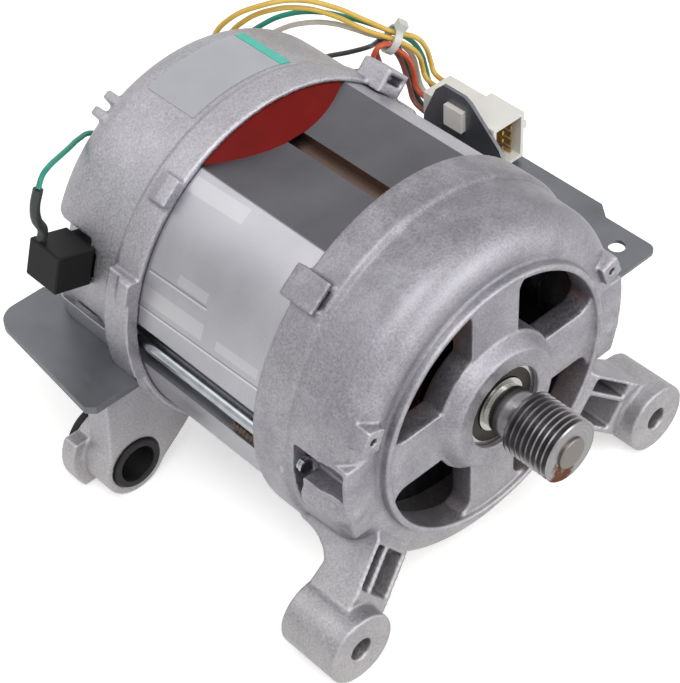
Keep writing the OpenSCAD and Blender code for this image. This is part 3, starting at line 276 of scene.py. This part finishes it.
# The field coils are wrapped in black varnished tape, and red vulcanised fibre caps close the gap
# between the flats and the rear rim.
tape, sockets, place = material("varnished_tape", Roughness=0.55)
wraps = add(tape, "ShaderNodeTexWave", {"Scale": 60, "Distortion": 2.0}, {"Vector": place}, bands_direction="X")
skin = add(tape, "ShaderNodeMix", {"A": linear("#0d0d0e"), "B": linear("#1c1c1d")},
           {"Factor": wraps.outputs["Fac"]}, data_type="RGBA")
lap = add(tape, "ShaderNodeBump", {"Strength": 0.4, "Distance": 0.0004}, {"Height": wraps.outputs["Fac"]})
tape.node_tree.links.new(skin.outputs["Result"], sockets["Base Color"])
tape.node_tree.links.new(lap.outputs[0], sockets["Normal"])
dress(tape, "field_coil_top", "field_coil_bottom")

fibre, sockets, place = material("vulcanised_fibre", Roughness=0.6, Specular_IOR_Level=0.12)
cloud = add(fibre, "ShaderNodeTexNoise", {"Scale": 120, "Detail": 5}, {"Vector": place})
skin = add(fibre, "ShaderNodeMix", {"A": linear("#600d0b"), "B": linear("#7c1713")},
           {"Factor": cloud.outputs[0]}, data_type="RGBA")
felt = add(fibre, "ShaderNodeBump", {"Strength": 0.2, "Distance": 0.0003}, {"Height": cloud.outputs[0]})
fibre.node_tree.links.new(skin.outputs["Result"], sockets["Base Color"])
fibre.node_tree.links.new(felt.outputs[0], sockets["Normal"])
dress(fibre, "insulation_caps")


# Two zinc-plated tie bolts clamp the shields on the stack, and two short studs rust in the grooves
# below them. Their rolled threads are too fine to show, so they are drawn 1.25 and 1.8 mm apart.
def lathe(name, profile, finish, body, at=(0, 0), steps=48):
    bm = bmesh.new()
    points = [bm.verts.new(((at[0] + r) * MM, y * MM, at[1] * MM)) for r, y in profile]
    lines = [bm.edges.new(pair) for pair in zip(points, points[1:])]
    bmesh.ops.spin(bm, geom=points + lines, cent=(at[0] * MM, 0, at[1] * MM), axis=(0, 1, 0), angle=math.tau,
                   steps=steps, use_merge=True)
    bmesh.ops.remove_doubles(bm, verts=bm.verts, dist=1e-7)
    bmesh.ops.recalc_face_normals(bm, faces=bm.faces)
    return piece(name, bm, finish, body)


zinc, sockets, place = material("zinc_plate", Metallic=1.0)
cloud = add(zinc, "ShaderNodeTexNoise", {"Scale": 160, "Detail": 3}, {"Vector": place})
skin = add(zinc, "ShaderNodeMix", {"A": linear("#8f959a"), "B": linear("#c9cdd0")},
           {"Factor": cloud.outputs[0]}, data_type="RGBA")
dull = add(zinc, "ShaderNodeMapRange", {"To Min": 0.1, "To Max": 0.26}, {"Value": cloud.outputs[0]})
zinc.node_tree.links.new(skin.outputs["Result"], sockets["Base Color"])
zinc.node_tree.links.new(dull.outputs[0], sockets["Roughness"])
dress(zinc, "bolt_washers", "plate_screws")

rust, sockets, place = material("rusted_steel", Metallic=0.6)
cloud = add(rust, "ShaderNodeTexNoise", {"Scale": 420, "Detail": 5}, {"Vector": place})
skin = add(rust, "ShaderNodeMix", {"A": linear("#2e1d17"), "B": linear("#7d6a60")},
           {"Factor": cloud.outputs[0]}, data_type="RGBA")
dull = add(rust, "ShaderNodeMapRange", {"To Min": 0.75, "To Max": 0.45}, {"Value": cloud.outputs[0]})
rust.node_tree.links.new(skin.outputs["Result"], sockets["Base Color"])
rust.node_tree.links.new(dull.outputs[0], sockets["Roughness"])

BOLT_X, BOLT_Z = 64.5, -2
STUD_X, STUD_Z = 66.3, -6.7
for side, sign in (("left", -1), ("right", 1)):
    thread = [(2.95 - 0.5 * (i % 2), 49 + 0.625 * i) for i in range(33)]
    bolt = lathe("tie_bolt_" + side, [(0, 49)] + thread + [(2.5, 69.6), (2.95, 70), (2.95, 153), (0, 153)], zinc,
                 "frame", (sign * BOLT_X, BOLT_Z))
    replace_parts(bolt, "through_bolts")
    bm = bmesh.new()
    bmesh.ops.create_cone(bm, cap_ends=True, segments=6, radius1=4.6 * MM, radius2=4.6 * MM, depth=4 * MM,
                          matrix=Matrix.Translation((sign * BOLT_X * MM, 155 * MM, BOLT_Z * MM))
                          @ Matrix.Rotation(math.pi / 2, 4, "X"))
    bmesh.ops.bevel(bm, geom=bm.edges, offset=0.35 * MM, segments=2, profile=0.5, affect="EDGES", material=-1)
    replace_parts(piece("tie_bolt_head_" + side, bm, zinc, "frame"), "through_bolts")
    thread = [(1.6 - 0.55 * (i % 2), 57 + 0.9 * i) for i in range(31)]
    stud = lathe("stud_" + side, [(0, 57)] + thread + [(0, 84)], rust, "frame",
                 (sign * STUD_X, STUD_Z))
    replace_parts(stud, "groove_studs")


# The pulley and shaft are turned steel. Eight grooves take the ribbed belt, the bearing collar is
# ground bright, and damp has stained the pulley's face brown.
turned, sockets, place = material("turned_steel", Metallic=1.0)
across = add(turned, "ShaderNodeSeparateXYZ", links={0: place})
reach = add(turned, "ShaderNodeVectorMath", {1: (1, 0, 1)}, {0: place}, operation="MULTIPLY")
reach = add(turned, "ShaderNodeVectorMath", links={0: reach.outputs[0]}, operation="LENGTH")
round_it = add(turned, "ShaderNodeCombineXYZ", links={0: reach.outputs["Value"], 1: across.outputs["Y"]})
cuts = add(turned, "ShaderNodeTexNoise", {"Scale": 1800, "Detail": 2}, {"Vector": round_it.outputs[0]})
skin = add(turned, "ShaderNodeMix", {"A": linear("#757376"), "B": linear("#b7b5b6")},
           {"Factor": cuts.outputs[0]}, data_type="RGBA")
stain = add(turned, "ShaderNodeTexNoise", {"Scale": 170, "Detail": 5, "Roughness": 0.65}, {"Vector": place})
low = add(turned, "ShaderNodeVectorMath", {1: (-0.006, -0.0096, -0.009)}, {0: place}, operation="DISTANCE")
near = add(turned, "ShaderNodeMapRange", {"From Min": 0.012, "From Max": 0.003, "To Max": 0.45},
           {"Value": low.outputs["Value"]})
stain = add(turned, "ShaderNodeMath", links={0: stain.outputs[0], 1: near.outputs[0]}, operation="ADD")
stain = add(turned, "ShaderNodeMapRange", {"From Min": 0.68, "From Max": 0.85}, {"Value": stain.outputs[0]})
skin = add(turned, "ShaderNodeMix", {"B": linear("#6b4630")},
           {"Factor": stain.outputs[0], "A": skin.outputs["Result"]}, data_type="RGBA")
dull = add(turned, "ShaderNodeMapRange", {"To Min": 0.28, "To Max": 0.7}, {"Value": stain.outputs[0]})
rings = add(turned, "ShaderNodeBump", {"Strength": 0.25, "Distance": 0.0001}, {"Height": cuts.outputs[0]})
turned.node_tree.links.new(skin.outputs["Result"], sockets["Base Color"])
turned.node_tree.links.new(dull.outputs[0], sockets["Roughness"])
turned.node_tree.links.new(rings.outputs[0], sockets["Normal"])
dress(turned, "pulley")

ground, sockets, place = material("ground_steel", Metallic=1.0)
across = add(ground, "ShaderNodeSeparateXYZ", links={0: place})
cuts = add(ground, "ShaderNodeTexNoise", {"Scale": 900, "Detail": 2}, {"W": across.outputs["Y"]},
           noise_dimensions="1D")
skin = add(ground, "ShaderNodeMix", {"A": linear("#a3a29f"), "B": linear("#d6d5d2")},
           {"Factor": cuts.outputs[0]}, data_type="RGBA")
nose = add(ground, "ShaderNodeMapRange", {"From Min": -0.0075, "From Max": -0.009}, {"Value": across.outputs["Y"]})
skin = add(ground, "ShaderNodeMix", {"B": linear("#88827e")}, {"Factor": nose.outputs[0], "A": skin.outputs["Result"]},
           data_type="RGBA")
dull = add(ground, "ShaderNodeMapRange", {"To Min": 0.12, "To Max": 0.26}, {"Value": cuts.outputs[0]})
dull = add(ground, "ShaderNodeMath", {1: 0.25}, {0: nose.outputs[0], 2: dull.outputs[0]}, operation="MULTIPLY_ADD")
ground.node_tree.links.new(skin.outputs["Result"], sockets["Base Color"])
ground.node_tree.links.new(dull.outputs[0], sockets["Roughness"])
dress(ground, "shaft", "front_outer_ring", "front_inner_ring", "rear_outer_ring", "rear_inner_ring",
      "front_ball_cage", "rear_ball_cage")

pressed, sockets, place = material("pressed_shield_steel", Metallic=1.0)
cloud = add(pressed, "ShaderNodeTexNoise", {"Scale": 260, "Detail": 4}, {"Vector": place})
skin = add(pressed, "ShaderNodeMix", {"A": linear("#1f1d1c"), "B": linear("#4f4a45")},
           {"Factor": cloud.outputs[0]}, data_type="RGBA")
dull = add(pressed, "ShaderNodeMapRange", {"To Min": 0.3, "To Max": 0.5}, {"Value": cloud.outputs[0]})
pressed.node_tree.links.new(skin.outputs["Result"], sockets["Base Color"])
pressed.node_tree.links.new(dull.outputs[0], sockets["Roughness"])
dress(pressed, "front_dust_shields", "rear_dust_shields")


# The armature turns inside the stack. Its enamelled copper wire crosses the front end in a fan of
# fine strands, and its commutator bars are hard-drawn copper on a moulded hub.
copper, sockets, place = material("enamelled_copper", Metallic=1.0, Coat_Weight=0.4, Coat_Roughness=0.15)
cloud = add(copper, "ShaderNodeTexNoise", {"Scale": 300, "Detail": 3}, {"Vector": place})
skin = add(copper, "ShaderNodeMix", {"A": linear("#7c3f22"), "B": linear("#c8764a")},
           {"Factor": cloud.outputs[0]}, data_type="RGBA")
dull = add(copper, "ShaderNodeMapRange", {"To Min": 0.25, "To Max": 0.45}, {"Value": cloud.outputs[0]})
copper.node_tree.links.new(skin.outputs["Result"], sockets["Base Color"])
copper.node_tree.links.new(dull.outputs[0], sockets["Roughness"])
dress(copper, "armature_winding", "commutator", "tacho_coil")

strands = bpy.data.curves.new("armature_strands", "CURVE")
strands.dimensions = "3D"
strands.bevel_depth, strands.bevel_resolution = 0.45 * MM, 1
loops, turns, steps = 240, 49, 20
ring_r, loop_r, front_y = 24.4, 9.2, 49.8
spline = strands.splines.new("POLY")
spline.points.add(loops * steps - 1)
for i, point in enumerate(spline.points):
    core, about = math.tau * i / steps, math.tau * turns * i / (loops * steps)
    reach = ring_r + loop_r * math.cos(core)
    point.co = (reach * math.cos(about) * MM, (front_y - loop_r * math.sin(core)) * MM,
                reach * math.sin(about) * MM, 1)
strands.materials.append(copper)
head = bpy.data.objects.new("armature_strands", strands)
scene.collection.objects.link(head)
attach(head, "rotor")
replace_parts(head, "armature_front_winding")


# Moulded glass-filled nylon: winding sleeve, commutator hub, brush holders, terminal covers and the
# speed sensor's cap are black with a fine matt grain. Each has small radii from its mould.
nylon, sockets, place = material("black_nylon", IOR=1.53, Specular_IOR_Level=0.25)
grain = add(nylon, "ShaderNodeTexNoise", {"Scale": 1100, "Detail": 2}, {"Vector": place})
cloud = add(nylon, "ShaderNodeTexNoise", {"Scale": 70, "Detail": 3}, {"Vector": place})
skin = add(nylon, "ShaderNodeMix", {"A": linear("#080808"), "B": linear("#141415")},
           {"Factor": cloud.outputs[0]}, data_type="RGBA")
dull = add(nylon, "ShaderNodeMapRange", {"To Min": 0.38, "To Max": 0.6}, {"Value": cloud.outputs[0]})
mould = add(nylon, "ShaderNodeBump", {"Strength": 0.15, "Distance": 0.0001}, {"Height": grain.outputs[0]})
nylon.node_tree.links.new(skin.outputs["Result"], sockets["Base Color"])
nylon.node_tree.links.new(dull.outputs[0], sockets["Roughness"])
nylon.node_tree.links.new(mould.outputs[0], sockets["Normal"])
dress(nylon, "winding_sleeve", "commutator_hub", "brush_holder_left", "brush_holder_right", "tacho_cap")


def eased_copy(node, name, finish, radius, segments=2):
    bm = copy_of(node)
    bmesh.ops.dissolve_limit(bm, angle_limit=math.radians(1), verts=bm.verts, edges=bm.edges)
    made = piece(name, bm, finish, "frame")
    edge = made.modifiers.new("eased", "BEVEL")
    edge.width, edge.segments, edge.limit_method, edge.angle_limit = radius * MM, segments, "ANGLE", math.radians(40)
    edge.profile, edge.harden_normals = 0.5, True
    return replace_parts(made, node)


for side in ("left", "right"):
    eased_copy("terminal_cover_" + side, "brush_cover_" + side, nylon, 0.8, 3)

carbon, sockets, place = material("pressed_carbon", Roughness=0.6)
grain = add(carbon, "ShaderNodeTexNoise", {"Scale": 1500, "Detail": 3}, {"Vector": place})
skin = add(carbon, "ShaderNodeMix", {"A": linear("#1f1f20"), "B": linear("#3a3a3b")},
           {"Factor": grain.outputs[0]}, data_type="RGBA")
carbon.node_tree.links.new(skin.outputs["Result"], sockets["Base Color"])
dress(carbon, "brush_left", "brush_right", "tacho_magnet")

brass, sockets, place = material("rolled_brass", Metallic=1.0)
cloud = add(brass, "ShaderNodeTexNoise", {"Scale": 400, "Detail": 3}, {"Vector": place})
skin = add(brass, "ShaderNodeMix", {"A": linear("#a08348"), "B": linear("#d2b877")},
           {"Factor": cloud.outputs[0]}, data_type="RGBA")
dull = add(brass, "ShaderNodeMapRange", {"To Min": 0.25, "To Max": 0.4}, {"Value": cloud.outputs[0]})
brass.node_tree.links.new(skin.outputs["Result"], sockets["Base Color"])
brass.node_tree.links.new(dull.outputs[0], sockets["Roughness"])
dress(brass, "brush_terminal_left", "brush_terminal_right", "connector_pins")

SPRING_Y, COIL_R, WIRE_R, TURNS, STEPS = 165, 1.9, 0.35, 8, 160
for side, sign in (("left", 1), ("right", -1)):
    out = Vector((-0.9563048, 0, 0.2923717)) * sign
    bm = bmesh.new()
    start = out * 41.6 * MM + Vector((0, SPRING_Y * MM, 0))
    bmesh.ops.create_circle(bm, segments=8, radius=WIRE_R * MM,
                            matrix=Matrix.Translation(start + Vector((0, COIL_R * MM, 0)))
                            @ out.cross(Vector((0, 1, 0))).to_track_quat("Z", "Y").to_matrix().to_4x4())
    bmesh.ops.spin(bm, geom=bm.verts[:] + bm.edges[:], cent=start, axis=out, dvec=out * 17.8 * MM / STEPS,
                   angle=math.tau * TURNS, steps=STEPS)
    bmesh.ops.recalc_face_normals(bm, faces=bm.faces)
    spring = piece("spring_" + side, bm, ground, "frame")
    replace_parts(spring, "brush_spring_" + side)
    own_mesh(spring)


# Rubber bushes are pressed into the rear lugs to keep the motor's hum off its hanger. Moulded
# natural rubber is black with a soft sheen.
rubber, sockets, place = material("moulded_rubber", Roughness=0.5, IOR=1.52, Specular_IOR_Level=0.35)
bloom = add(rubber, "ShaderNodeTexNoise", {"Scale": 200, "Detail": 4}, {"Vector": place})
skin = add(rubber, "ShaderNodeMix", {"A": linear("#0f0f10"), "B": linear("#232324")},
           {"Factor": bloom.outputs[0]}, data_type="RGBA")
rubber.node_tree.links.new(skin.outputs["Result"], sockets["Base Color"])
for side in ("left", "right"):
    eased_copy("bush_" + side, "rubber_bush_" + side, rubber, 0.6)


# A flat plate on the rear left lug and a folded plate for the connector are blanked from cold-rolled
# steel sheet, blue-grey, with faint rolling marks and edges rounded by the blanking tool.
sheet, sockets, place = material("rolled_sheet_steel", Metallic=0.9)
stretched = add(sheet, "ShaderNodeMapping", {"Scale": (1, 0.15, 1)}, {"Vector": place})
marks = add(sheet, "ShaderNodeTexNoise", {"Scale": 350, "Detail": 4}, {"Vector": stretched.outputs[0]})
cloud = add(sheet, "ShaderNodeTexNoise", {"Scale": 40, "Detail": 4}, {"Vector": place})
skin = add(sheet, "ShaderNodeMix", {"A": linear("#606267"), "B": linear("#8d8f94")},
           {"Factor": cloud.outputs[0]}, data_type="RGBA")
dull = add(sheet, "ShaderNodeMapRange", {"To Min": 0.35, "To Max": 0.55}, {"Value": marks.outputs[0]})
rolled = add(sheet, "ShaderNodeBump", {"Strength": 0.1, "Distance": 0.0001}, {"Height": marks.outputs[0]})
sheet.node_tree.links.new(skin.outputs["Result"], sockets["Base Color"])
sheet.node_tree.links.new(dull.outputs[0], sockets["Roughness"])
sheet.node_tree.links.new(rolled.outputs[0], sockets["Normal"])
eased_copy("side_plate", "lug_plate", sheet, 0.4)
eased_copy("connector_plate", "folded_plate", sheet, 0.3)


# The connector is injection moulded in natural white nylon, clipped through the folded plate, with
# a row of open cavities towards the front.
white, sockets, place = material("white_nylon", Roughness=0.42, IOR=1.53, Subsurface_Weight=0.15,
                                 Subsurface_Scale=0.002)
cloud = add(white, "ShaderNodeTexNoise", {"Scale": 90, "Detail": 3}, {"Vector": place})
skin = add(white, "ShaderNodeMix", {"A": linear("#dddad2"), "B": linear("#efede8")},
           {"Factor": cloud.outputs[0]}, data_type="RGBA")
white.node_tree.links.new(skin.outputs["Result"], sockets["Base Color"])
eased_copy("connector_housing", "connector_body", white, 0.35)


# A blank rating sticker of silver polyester film lies round the top of the rear shield, with a
# turquoise strip at its right edge.
film, sockets, place = material("silver_film", Roughness=0.35, Metallic=0.25)
cloud = add(film, "ShaderNodeTexNoise", {"Scale": 60, "Detail": 3}, {"Vector": place})
skin = add(film, "ShaderNodeMix", {"A": linear("#a9aab0"), "B": linear("#bbbcc1")},
           {"Factor": cloud.outputs[0]}, data_type="RGBA")
bubbles = add(film, "ShaderNodeBump", {"Strength": 0.2, "Distance": 0.0005}, {"Height": cloud.outputs[0]})
film.node_tree.links.new(skin.outputs["Result"], sockets["Base Color"])
film.node_tree.links.new(bubbles.outputs[0], sockets["Normal"])
dress(film, "label")

strip, sockets, place = material("turquoise_film", Roughness=0.4)
cloud = add(strip, "ShaderNodeTexNoise", {"Scale": 200, "Detail": 3}, {"Vector": place})
skin = add(strip, "ShaderNodeMix", {"A": linear("#35b5a2"), "B": linear("#55d3c0")},
           {"Factor": cloud.outputs[0]}, data_type="RGBA")
strip.node_tree.links.new(skin.outputs["Result"], sockets["Base Color"])
dress(strip, "label_strip")


# The loom. Stranded wires in soft PVC run from the windings out of the rear shield's vents, through
# a nylon tie and into the connector. Routes are in mm, with stations from the stack's rear end, and the
# end of each is its column and row in the connector and the radius of its last bend.
STACK_REAR = 143
ENTRY_X, ENTRY_Y, ENTRY_Z = 89.75, 1.6, 8


def pvc(name, dark, pale):
    made, sockets, place = material(name, Roughness=0.4, IOR=1.53)
    cloud = add(made, "ShaderNodeTexNoise", {"Scale": 130, "Detail": 3}, {"Vector": place})
    skin = add(made, "ShaderNodeMix", {"A": linear(dark), "B": linear(pale)},
               {"Factor": cloud.outputs[0]}, data_type="RGBA")
    dull = add(made, "ShaderNodeMapRange", {"To Min": 0.3, "To Max": 0.5}, {"Value": cloud.outputs[0]})
    made.node_tree.links.new(skin.outputs["Result"], sockets["Base Color"])
    made.node_tree.links.new(dull.outputs[0], sockets["Roughness"])
    return made


def wire(node, route, finish, radius=1.0, end=None):
    if end:
        column, row, bend = end
        x, z = ENTRY_X + 4.5 * (column - 1), ENTRY_Z + 3.6 * row
        route = route + [(x, ENTRY_Y + bend, z + bend), (x, ENTRY_Y + 0.71 * bend, z + 0.29 * bend),
                         (x, ENTRY_Y, z), (x, -5, z)]
    line = bpy.data.curves.new(node + "_pvc", "CURVE")
    line.dimensions = "3D"
    line.bevel_depth, line.bevel_resolution, line.use_fill_caps = radius * MM, 4, True
    line.resolution_u = 8
    spline = line.splines.new("BEZIER")
    spline.bezier_points.add(len(route) - 1)
    for knot, (x, y, z) in zip(spline.bezier_points, route):
        knot.co = (x * MM, (STACK_REAR + y) * MM, z * MM)
        knot.handle_left_type = knot.handle_right_type = "AUTO"
    line.materials.append(finish)
    made = bpy.data.objects.new(line.name, line)
    scene.collection.objects.link(made)
    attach(made, "frame")
    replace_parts(made, node)
    bpy.context.view_layer.update()
    return made, spline.calc_length(), spline.bezier_points[0].co


yellow = pvc("yellow_pvc", "#cda43a", "#e8c863")
green = pvc("green_pvc", "#0c7f6a", "#1a9c83")
cream = pvc("cream_pvc", "#c9c0b0", "#e2dccf")
orange = pvc("orange_pvc", "#c4481f", "#dd5f31")
brown = pvc("brown_pvc", "#7d4436", "#a5675a")
grey = pvc("charcoal_pvc", "#27292a", "#3f4344")
for node, finish, slot, end, route in (
        ("wire_yellow_upper", yellow, "yellow_wire", (2, 4, 5),
         [(19, 6, 43.5), (19, 42, 43.5), (20, 47.5, 46.5), (23, 49.5, 54), (28, 45, 62.5), (36, 37, 68), (47, 29, 69),
          (59, 21, 63.5), (68, 14.5, 56.5), (77, 8, 49.5), (84.5, 5.8, 45), (91, 6.2, 36.5)]),
        ("wire_yellow_lower", yellow, "yellow_wire", (1, 4, 5),
         [(24, 6, 41), (24, 42, 41), (25.5, 47.5, 44.5), (29, 48.5, 51.5), (34, 43.5, 59.5), (41, 36.5, 64),
          (50, 29, 64), (59, 21.5, 59.5), (67, 13.5, 53), (75, 6.5, 48), (81.5, 4.5, 42), (87, 5.5, 34.5)]),
        ("wire_green", green, "green_wire", (2, 2, 7.8),
         [(29, 6, 37.5), (29, 43, 37.5), (31, 48, 41), (36, 48, 47.5), (42, 43, 54), (49, 36, 58.5), (57, 28.5, 59),
          (65, 21.5, 56), (71.5, 16, 52.5), (78, 10.5, 48), (85, 9, 42), (91.3, 9, 32)]),
        ("wire_white", cream, "white_wire", (1, 2, 7.8),
         [(33.5, 6, 33), (33.5, 43, 33), (36, 48, 36), (41, 48, 42), (48, 41.5, 49), (55, 33, 53), (61, 25, 53.5),
          (66, 18.5, 51.5), (70.5, 13.5, 49), (76, 9, 47), (82, 7.8, 40), (87, 8.7, 32)]),
        ("wire_orange", orange, "orange_wire", (0, 3, 5),
         [(44.5, 6, 11), (44.5, 43, 11), (48, 48.5, 11), (57, 49, 12.5), (67, 43, 16), (73, 32, 21), (74.5, 21, 27),
          (70, 12, 35.5), (66.3, 9.2, 41.5), (64.8, 7.2, 46.2), (66.3, 5.7, 49.8), (70, 5.6, 49.2), (74, 7, 45.4),
          (79, 5, 39.5), (83, 5.5, 32)]),
        ("wire_black", grey, "black_wire", (1, 0, 10.6),
         [(46.5, 6, 15), (46.5, 43, 15), (50.5, 48.5, 17), (59.5, 48, 21), (68, 41.5, 25.5), (74.5, 31, 30.5),
          (77, 22.5, 36), (75, 16.2, 42.2), (75.6, 12.6, 45.8), (78.4, 11.4, 44), (81.8, 11.2, 38), (85.5, 11.6, 29)]),
        ("wire_brown", brown, "brown_wire", (0, 1, 8),
         [(79.65, 27, -16.51), (81.11, 27, -11.73), (77.8, 21.5, 3), (78, 19, 12), (77.6, 16.5, 22), (76, 15, 30),
          (73.7, 14.4, 36.5), (72.3, 13.5, 41.2), (72.6, 11.8, 44.3), (74.8, 10.2, 44), (77.4, 9.2, 40.5),
          (79.6, 8.6, 36), (82.2, 8.7, 28.5)])):
    made, length, start = wire(node, route, finish, end=end)

sleeve = wire("lead_sleeve_left", [(-76.5, 25, 54.8), (-78.4, 25.8, 48), (-78.2, 26.7, 41), (-76.39, 27, 35.38),
                                   (-77.56, 27, 31.56)], grey, 1.9)[0]
made, length, start = wire("brush_lead_left", [(-30, 6, 36), (-30, 43, 36), (-31.5, 48.5, 39), (-37, 48.5, 44),
                                               (-45, 44.5, 48), (-53, 39.5, 51), (-61, 34.2, 54.5), (-68, 29.8, 57),
                                               (-73.3, 26.5, 57.6), (-76.5, 25, 54.8)], green)

clear, sockets, place = material("natural_nylon_tie", Roughness=0.35, IOR=1.53, Transmission_Weight=0.25)
cloud = add(clear, "ShaderNodeTexNoise", {"Scale": 250, "Detail": 2}, {"Vector": place})
skin = add(clear, "ShaderNodeMix", {"A": linear("#d5d9d2"), "B": linear("#eceee9")},
           {"Factor": cloud.outputs[0]}, data_type="RGBA")
clear.node_tree.links.new(skin.outputs["Result"], sockets["Base Color"])
eased_copy("cable_tie", "wire_tie", clear, 0.25)
